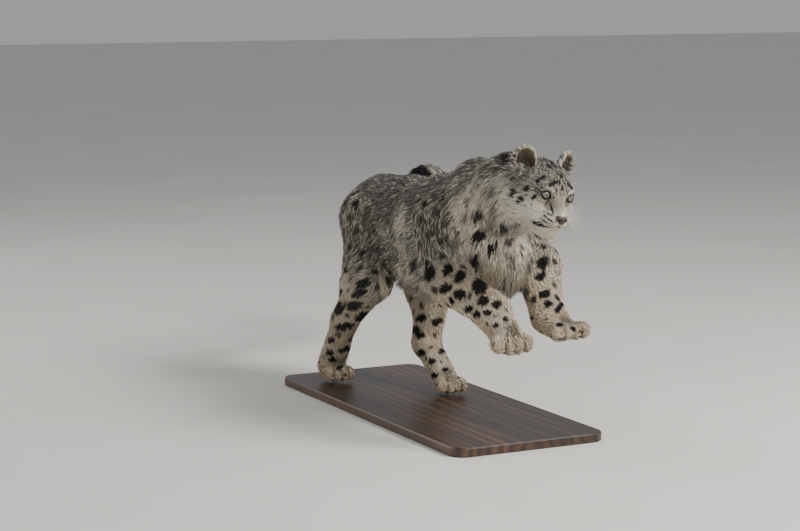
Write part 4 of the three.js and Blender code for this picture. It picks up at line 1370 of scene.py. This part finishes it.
def revolve(middle, axes, rings, around=48):
    """A closed surface round an axis: rings of distance along it and radius, first and last at 0."""
    turn = np.linspace(0, 2 * math.pi, around, endpoint=False)
    circle = np.stack([np.cos(turn), np.sin(turn), np.zeros(around)], 1)
    places = [np.array([[0, 0, rings[0][0]]])]
    for along, radius in rings[1:-1]:
        places.append(circle * radius + np.array([0, 0, along]))
    places.append(np.array([[0, 0, rings[-1][0]]]))
    local = np.concatenate(places)
    faces = []
    for k in range(around):
        n = (k + 1) % around
        faces.append((0, 1 + n, 1 + k))
        for ring in range(len(rings) - 3):
            a, b = 1 + ring * around, 1 + (ring + 1) * around
            faces.append((a + k, a + n, b + n))
            faces.append((a + k, b + n, b + k))
        last = 1 + (len(rings) - 3) * around
        faces.append((last + k, last + n, len(local) - 1))
    return middle + local @ axes.T * MM, np.array(faces), local


def eye_finish():
    """A round dark pupil in a pale iris with fine rays and a dark edge, under a clear cornea."""
    colours = bpy.context.scene.leopard_colours
    finish = Finish("eye")
    angle, around = finish.attribute("off_axis"), finish.attribute("around")
    rays = finish.node("ShaderNodeCombineXYZ")
    finish.join(finish.math("MULTIPLY", around, 14.0), rays.inputs[0])
    finish.join(finish.math("MULTIPLY", angle, 1.6), rays.inputs[1])
    streak = finish.span(finish.noise(2.4, 4.0, rays.outputs[0]), 0.3, 0.7, 0.72, 1.2)
    inner = finish.blend(linear("6f6a4a"), tuple(colours.iris), finish.span(angle, 0.3, 0.52))
    streaks = finish.node("ShaderNodeCombineColor")
    for socket in streaks.inputs:
        finish.join(streak, socket)
    iris = finish.blend(inner, streaks.outputs[0], 1.0, "MULTIPLY")
    iris = finish.blend(linear("050505"), iris, finish.span(angle, 0.215, 0.25))
    white = finish.blend(iris, linear("120d0b"), finish.span(angle, 0.58, 0.68))
    finish.colour(white)
    finish.constant(Roughness=0.06, Coat_Weight=1.0, Coat_Roughness=0.02, Specular_IOR_Level=0.5)
    return finish.material


class LEOPARD_OT_eyes(bpy.types.Operator):
    """Makes the two eyeballs, each with its bulging cornea"""

    bl_idname = "leopard.eyes"
    bl_label = "Eyes"

    def execute(self, context):
        material = eye_finish()
        for side in SIDES:
            rings = []
            for turn in np.linspace(0, math.pi, 33):
                bulge = 1 + 0.045 * step(0.8, 0.35, turn)
                along = EYE["radius"] * math.cos(turn) * bulge
                rings.append((along, EYE["radius"] * math.sin(turn) * bulge))
            rings = rings[::-1]
            axes = facing(eye_look(side))
            places, faces, local = revolve(eye_middle(side), axes, rings)
            off = np.arctan2(np.hypot(local[:, 0], local[:, 1]), local[:, 2])
            around = np.abs(np.arctan2(local[:, 1], local[:, 0])) / math.pi
            eye = make_mesh(f"eyeball_{side}", places, faces, {"off_axis": off, "around": around})
            finish_piece(eye, material, [f"eye_{side}"])
        return {"FINISHED"}


def tube(places, radii, sides=10, closed=False):
    """A closed tube of changing radius along some places."""
    count = len(places)
    after = np.roll(places, -1, 0) if closed else np.concatenate([places[1:], places[-1:]])
    before = np.roll(places, 1, 0) if closed else np.concatenate([places[:1], places[:-1]])
    along = unit(after - before)
    side = unit(np.cross(along, np.array([0.013, 0.02, 1.0])))
    up = np.cross(side, along)
    turn = np.linspace(0, 2 * math.pi, sides, endpoint=False)
    ring = np.cos(turn)[None, :, None] * side[:, None] + np.sin(turn)[None, :, None] * up[:, None]
    spots = (places[:, None] + ring * np.asarray(radii)[:, None, None]).reshape(-1, 3)
    faces = []
    for k in range(count if closed else count - 1):
        n = (k + 1) % count
        for s in range(sides):
            t = (s + 1) % sides
            faces.append((k * sides + s, n * sides + s, n * sides + t))
            faces.append((k * sides + s, n * sides + t, k * sides + t))
    if not closed:
        for s in range(1, sides - 1):
            faces.append((0, s, s + 1))
            last = (count - 1) * sides
            faces.append((last, last + s + 1, last + s))
    return spots, np.array(faces)


def wet_finish(name, colour):
    """Bare dark skin with a fine grain and a slight gleam."""
    finish = Finish(name)
    grain = finish.noise(900.0, 2.0)
    finish.colour(finish.blend(linear(colour), linear("3a2c28"), finish.span(grain, 0.35, 0.7)))
    finish.bump(grain, 0.35, 0.0006)
    finish.constant(Roughness=0.38, Specular_IOR_Level=0.45)
    return finish.material


class LEOPARD_OT_lids(bpy.types.Operator):
    """Makes the dark rims of the lids, round each eye"""

    bl_idname = "leopard.lids"
    bl_label = "Lid rims"

    def execute(self, context):
        material = wet_finish("lid rim", "17110f")
        for side in SIDES:
            axes = facing(eye_look(side), SIDES[side] * LID["slant"])
            outline = []
            half, bow = LID["width"] / 2, LID["height"] / 2
            for turn in np.linspace(0, 2 * math.pi, 48, endpoint=False):
                x = half * math.cos(turn)
                y = bow * (1 - (x / half) ** 2) * (1 if math.sin(turn) >= 0 else -1)
                shell = EYE["radius"] + 0.9
                z = math.sqrt(max(shell**2 - x * x - y * y, 9.0))
                outline.append(eye_middle(side) + axes @ np.array([x, y, z]) * MM)
            spots, faces = tube(np.array(outline), np.full(48, LID["rim"] * MM), 8, True)
            rim = make_mesh(f"lid_rim_{side}", spots, faces)
            bm = bmesh.new()
            bm.from_mesh(rim.data)
            bmesh.ops.recalc_face_normals(bm, faces=bm.faces)
            bm.to_mesh(rim.data)
            bm.free()
            finish_piece(rim, material)
        return {"FINISHED"}


class LEOPARD_OT_nose(bpy.types.Operator):
    """Makes the nose leather with its two nostrils and the furrow between them"""

    bl_idname = "leopard.nose"
    bl_label = "Nose"

    def execute(self, context):
        low, high = (np.array(c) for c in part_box("nose"))
        axes = facing(head_way(0, 1, 0.25))
        middle = (low + high) / 2

        def pad(p):
            q = (p - middle) / MM @ axes
            q[:, 0] = np.abs(q[:, 0])
            ball = lambda at_, half: np.linalg.norm((q - at_) / half, axis=1) * min(half) - min(half)
            value = ball(np.array([0, 3.0, -1.0]), np.array([10.5, 7.0, 8.5]))
            wing = ball(np.array([9.5, 1.5, -1.5]), np.array([7.0, 8.0, 8.0]))
            foot = ball(np.array([2.5, -6.0, -1.5]), np.array([5.0, 6.0, 8.0]))
            top = ball(np.array([5.0, 6.0, -3.5]), np.array([9.5, 4.5, 6.0]))
            value = melt(5 * PAD_FOLD, melt(5 * PAD_FOLD, value, wing), melt(4 * PAD_FOLD, foot, top))
            hole = ball(np.array([8.4, -0.6, 6.0]), np.array([3.4, 2.3, 5.0]))
            slit = ball(np.array([12.0, -2.4, 4.5]), np.array([3.6, 1.3, 4.0]))
            value = cut(1.2 * PAD_FOLD, value, melt(1.5 * PAD_FOLD, hole, slit))
            furrow = np.hypot(q[:, 0], q[:, 2] - 7.2) - 1.0
            return cut(1.5 * PAD_FOLD, value, np.where(q[:, 1] < 3.5, furrow, 5.0)) * MM

        grown_low, grown_high = low - 0.006, high + 0.006
        values = sample(pad, grown_low, grown_high, NOSE_CELL * MM)
        places, faces = surface(values, grown_low, NOSE_CELL * MM)
        places = relax(places, faces, 2)
        nose = make_mesh("nose_leather", places, faces)
        colours = bpy.context.scene.leopard_colours
        finish = Finish("nose leather")
        pebble = finish.node("ShaderNodeTexVoronoi")
        finish.join(finish.place(), pebble.inputs["Vector"])
        pebble.inputs["Scale"].default_value = 900.0
        tone = finish.span(finish.noise(120.0), 0.3, 0.7)
        finish.colour(finish.blend(tuple(colours.leather), linear("4f3934"), tone))
        finish.bump(pebble.outputs["Distance"], 0.6, 0.0006)
        finish.constant(Roughness=0.42, Specular_IOR_Level=0.5)
        finish_piece(nose, finish.material, ["nose"])
        return {"FINISHED"}


def whisker_tree():
    """Nodes that grow one tapered, bent whisker from each root, along the way it carries."""
    tree = bpy.data.node_groups.new("Whiskers", "GeometryNodeTree")
    tree.interface.new_socket("Geometry", in_out="INPUT", socket_type="NodeSocketGeometry")
    thick = tree.interface.new_socket("Thickness", in_out="INPUT", socket_type="NodeSocketFloat")
    material = tree.interface.new_socket("Material", in_out="INPUT", socket_type="NodeSocketMaterial")
    tree.interface.new_socket("Geometry", in_out="OUTPUT", socket_type="NodeSocketGeometry")
    new = tree.nodes.new
    join = tree.links.new
    source, sink = new("NodeGroupInput"), new("NodeGroupOutput")
    arc = new("GeometryNodeCurveQuadraticBezier")
    arc.inputs["Resolution"].default_value = 10
    arc.inputs["Start"].default_value = (0, 0, 0)
    arc.inputs["Middle"].default_value = (0, 0.04, 0.55)
    arc.inputs["End"].default_value = (0, -0.12, 1.0)
    share = new("GeometryNodeSplineParameter")
    taper = new("ShaderNodeMapRange")
    taper.inputs["To Min"].default_value = 1.0
    taper.inputs["To Max"].default_value = 0.12
    join(share.outputs["Factor"], taper.inputs["Value"])
    profile = new("GeometryNodeCurvePrimitiveCircle")
    profile.inputs["Resolution"].default_value = 5
    join(source.outputs["Thickness"], profile.inputs["Radius"])
    hair = new("GeometryNodeCurveToMesh")
    hair.inputs["Fill Caps"].default_value = True
    join(arc.outputs[0], hair.inputs["Curve"])
    join(profile.outputs[0], hair.inputs["Profile Curve"])
    join(taper.outputs[0], hair.inputs["Scale"])
    way = new("GeometryNodeInputNamedAttribute")
    way.data_type = "FLOAT_VECTOR"
    way.inputs["Name"].default_value = "way"
    turn = new("FunctionNodeAlignRotationToVector")
    turn.axis = "Z"
    join(way.outputs["Attribute"], turn.inputs["Vector"])
    reach = new("GeometryNodeInputNamedAttribute")
    reach.data_type = "FLOAT"
    reach.inputs["Name"].default_value = "reach"
    spread = new("GeometryNodeInstanceOnPoints")
    join(source.outputs["Geometry"], spread.inputs["Points"])
    join(hair.outputs[0], spread.inputs["Instance"])
    join(turn.outputs[0], spread.inputs["Rotation"])
    join(reach.outputs["Attribute"], spread.inputs["Scale"])
    real = new("GeometryNodeRealizeInstances")
    join(spread.outputs[0], real.inputs[0])
    dress = new("GeometryNodeSetMaterial")
    join(real.outputs[0], dress.inputs["Geometry"])
    join(source.outputs["Material"], dress.inputs["Material"])
    join(dress.outputs[0], sink.inputs[0])
    return tree, thick.identifier, material.identifier


WHISKERS = {"rows": 4, "each": 6, "reach": (58, 112), "thick": 0.0034}


class LEOPARD_OT_whiskers(bpy.types.Operator):
    """Grows the whiskers in rows from the pads of the muzzle, and a few over the eyes"""

    bl_idname = "leopard.whiskers"
    bl_label = "Whiskers"

    def execute(self, context):
        chance = np.random.default_rng(SEED)

        def field(p):
            return head_field(p) + COAT_DEPTH["head"] * MM

        roots, ways, reaches = [], [], []
        for sign in SIDES.values():
            core = on_head(sign * 10, 66, -42)
            for row in range(WHISKERS["rows"]):
                for k in range(WHISKERS["each"]):
                    out = 0.75 + 0.28 * k + chance.uniform(-0.05, 0.05)
                    look = head_way(sign * out, 1.05 - 0.22 * k, 0.42 - 0.24 * row)
                    roots.append(surface_along(field, core, unit(look)))
                    ways.append(unit(head_way(sign * 1.0, 0.1 - 0.16 * k, 0.2 - 0.2 * row)))
                    reach = mix(*WHISKERS["reach"], k / (WHISKERS["each"] - 1))
                    reaches.append(reach * chance.uniform(0.8, 1))
            for k in range(3):
                core = on_head(sign * 20, 10, 20)
                look = head_way(sign * (0.3 + 0.12 * k), 1, 0.55)
                roots.append(surface_along(field, core, unit(look)))
                ways.append(unit(head_way(sign * (0.5 + 0.2 * k), 0.35, 1)))
                reaches.append(chance.uniform(34, 48))
        mesh = bpy.data.meshes.new("whisker_roots")
        mesh.from_pydata([Vector(r) for r in roots], [], [])
        carried = mesh.attributes.new("way", "FLOAT_VECTOR", "POINT")
        carried.data.foreach_set("vector", np.array(ways).ravel())
        scale = np.array(reaches) * MM
        mesh.attributes.new("reach", "FLOAT", "POINT").data.foreach_set("value", scale)
        seeds = bpy.data.objects.new("whisker_roots", mesh)
        context.scene.collection.objects.link(seeds)
        finish = Finish("whisker")
        finish.colour(finish.blend(linear("d9d2c4"), linear("f4efe6"), finish.noise(60.0)))
        finish.constant(Roughness=0.35)
        tree, thick, dress = whisker_tree()
        modifier = seeds.modifiers.new("Whiskers", "NODES")
        modifier.node_group = tree
        modifier[thick] = WHISKERS["thick"]
        modifier[dress] = finish.material
        shown = seeds.evaluated_get(context.evaluated_depsgraph_get())
        made = bpy.data.meshes.new_from_object(shown)
        made.name = "whiskers"
        whiskers = bpy.data.objects.new("whiskers", made)
        context.scene.collection.objects.link(whiskers)
        bpy.data.objects.remove(seeds)
        finish_piece(whiskers, finish.material)
        return {"FINISHED"}


class LEOPARD_OT_stand(bpy.types.Operator):
    """Finishes the flat base in dark oiled wood"""

    bl_idname = "leopard.stand"
    bl_label = "Stand"

    def execute(self, context):
        finish = Finish("dark oiled wood")
        ways = finish.node("ShaderNodeMapping")
        finish.join(finish.place(), ways.inputs["Vector"])
        ways.inputs["Scale"].default_value = (9.0, 0.9, 9.0)
        bend = finish.noise(1.6, 4.0, ways.outputs[0])
        grain = finish.node("ShaderNodeTexWave", wave_type="RINGS", rings_direction="Y")
        finish.join(ways.outputs[0], grain.inputs["Vector"])
        grain.inputs["Scale"].default_value = 1.1
        grain.inputs["Distortion"].default_value = 5.0
        grain.inputs["Detail"].default_value = 3.0
        wood = finish.blend(linear("2c1d14"), linear("5a3d28"), grain.outputs["Fac"])
        finish.colour(finish.blend(wood, linear("20150f"), finish.span(bend, 0.4, 0.75)))
        finish.bump(grain.outputs["Fac"], 0.12, 0.001)
        finish.constant(Roughness=0.42, Coat_Weight=0.25, Coat_Roughness=0.25)
        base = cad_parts["stand_base"]
        base.data.materials.clear()
        base.data.materials.append(finish.material)
        return {"FINISHED"}


class LEOPARD_OT_stage(bpy.types.Operator):
    """Sets out the floor, the soft lights and the camera"""

    bl_idname = "leopard.stage"
    bl_label = "Stage"

    def execute(self, context):
        settings = context.scene.leopard_stage
        half = settings.floor / 2
        corners = [(-half, -half, 0), (half, -half, 0), (half, half, 0), (-half, half, 0)]
        floor = make_mesh(
            "floor", np.array(corners, float), np.array([(0, 1, 2, 3)]), smooth=False
        )
        finish = Finish("pale floor")
        finish.colour(finish.blend(linear("d8d4cc"), linear("e2dfd8"), finish.noise(2.0)))
        finish.constant(Roughness=0.85, Specular_IOR_Level=0.2)
        floor.data.materials.append(finish.material)
        world = bpy.data.worlds.new("studio")
        context.scene.world = world
        world.use_nodes = True
        sky = world.node_tree.nodes["Background"]
        sky.inputs["Color"].default_value = linear("eef1f5")
        sky.inputs["Strength"].default_value = settings.sky
        aim = Vector((0.05, 0.0, 0.45))
        for name, place, power, size in (
            ("key", (2.2, -3.4, 3.6), settings.key, 1.8),
            ("fill", (-3.8, -2.4, 1.8), settings.fill, 3.0),
            ("rim", (-1.6, 3.2, 3.2), settings.fill, 2.4),
        ):
            lamp = bpy.data.lights.new(name, "AREA")
            lamp.energy = power
            lamp.size = size
            light = bpy.data.objects.new(name, lamp)
            light.location = place
            light.rotation_euler = (aim - Vector(place)).to_track_quat("-Z", "Y").to_euler()
            context.scene.collection.objects.link(light)
        lens = bpy.data.cameras.new("camera")
        lens.lens = CAMERA["lens"]
        lens.sensor_width = CAMERA["sensor"]
        lens.sensor_fit = "HORIZONTAL"
        lens.clip_end = 300
        camera = bpy.data.objects.new("camera", lens)
        right, up, back = view_axes()
        camera.matrix_world = Matrix.Translation(Vector(CAMERA_PLACE)) @ Matrix(
            np.stack([right, up, back], 1).tolist()
        ).to_4x4()
        context.scene.collection.objects.link(camera)
        context.scene.camera = camera
        return {"FINISHED"}


OPERATORS = (
    LEOPARD_OT_stage, LEOPARD_OT_stand, LEOPARD_OT_skin, LEOPARD_OT_coat, LEOPARD_OT_eyes,
    LEOPARD_OT_lids, LEOPARD_OT_nose, LEOPARD_OT_whiskers,
)
GROUPS = {"leopard_colours": LeopardColours, "leopard_coat": LeopardCoat, "leopard_stage": LeopardStage}


class LEOPARD_PT_panel(bpy.types.Panel):
    """Lists the steps and the settings in the sidebar"""

    bl_idname = "LEOPARD_PT_panel"
    bl_label = "Snow leopard"
    bl_space_type = "VIEW_3D"
    bl_region_type = "UI"
    bl_category = "Leopard"

    def draw(self, context):
        for key in GROUPS:
            group = getattr(context.scene, key)
            box = self.layout.box()
            for prop in group.bl_rna.properties:
                if not prop.is_readonly and prop.identifier != "name":
                    box.prop(group, prop.identifier)
        for operator in OPERATORS:
            self.layout.operator(operator.bl_idname)


def register():
    """Makes the settings, steps and panel known to Blender."""
    for kind in (*GROUPS.values(), *OPERATORS, LEOPARD_PT_panel):
        bpy.utils.register_class(kind)
    for key, kind in GROUPS.items():
        setattr(bpy.types.Scene, key, PointerProperty(type=kind))


def unregister():
    """Takes the settings, steps and panel away again."""
    for key in GROUPS:
        delattr(bpy.types.Scene, key)
    for kind in reversed((*GROUPS.values(), *OPERATORS, LEOPARD_PT_panel)):
        bpy.utils.unregister_class(kind)


def main():
    """Builds the whole model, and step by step."""
    register()
    for operator in OPERATORS:
        name = operator.bl_idname.split(".")[1]
        getattr(bpy.ops.leopard, name)()


if __name__ == "__main__":
    main()
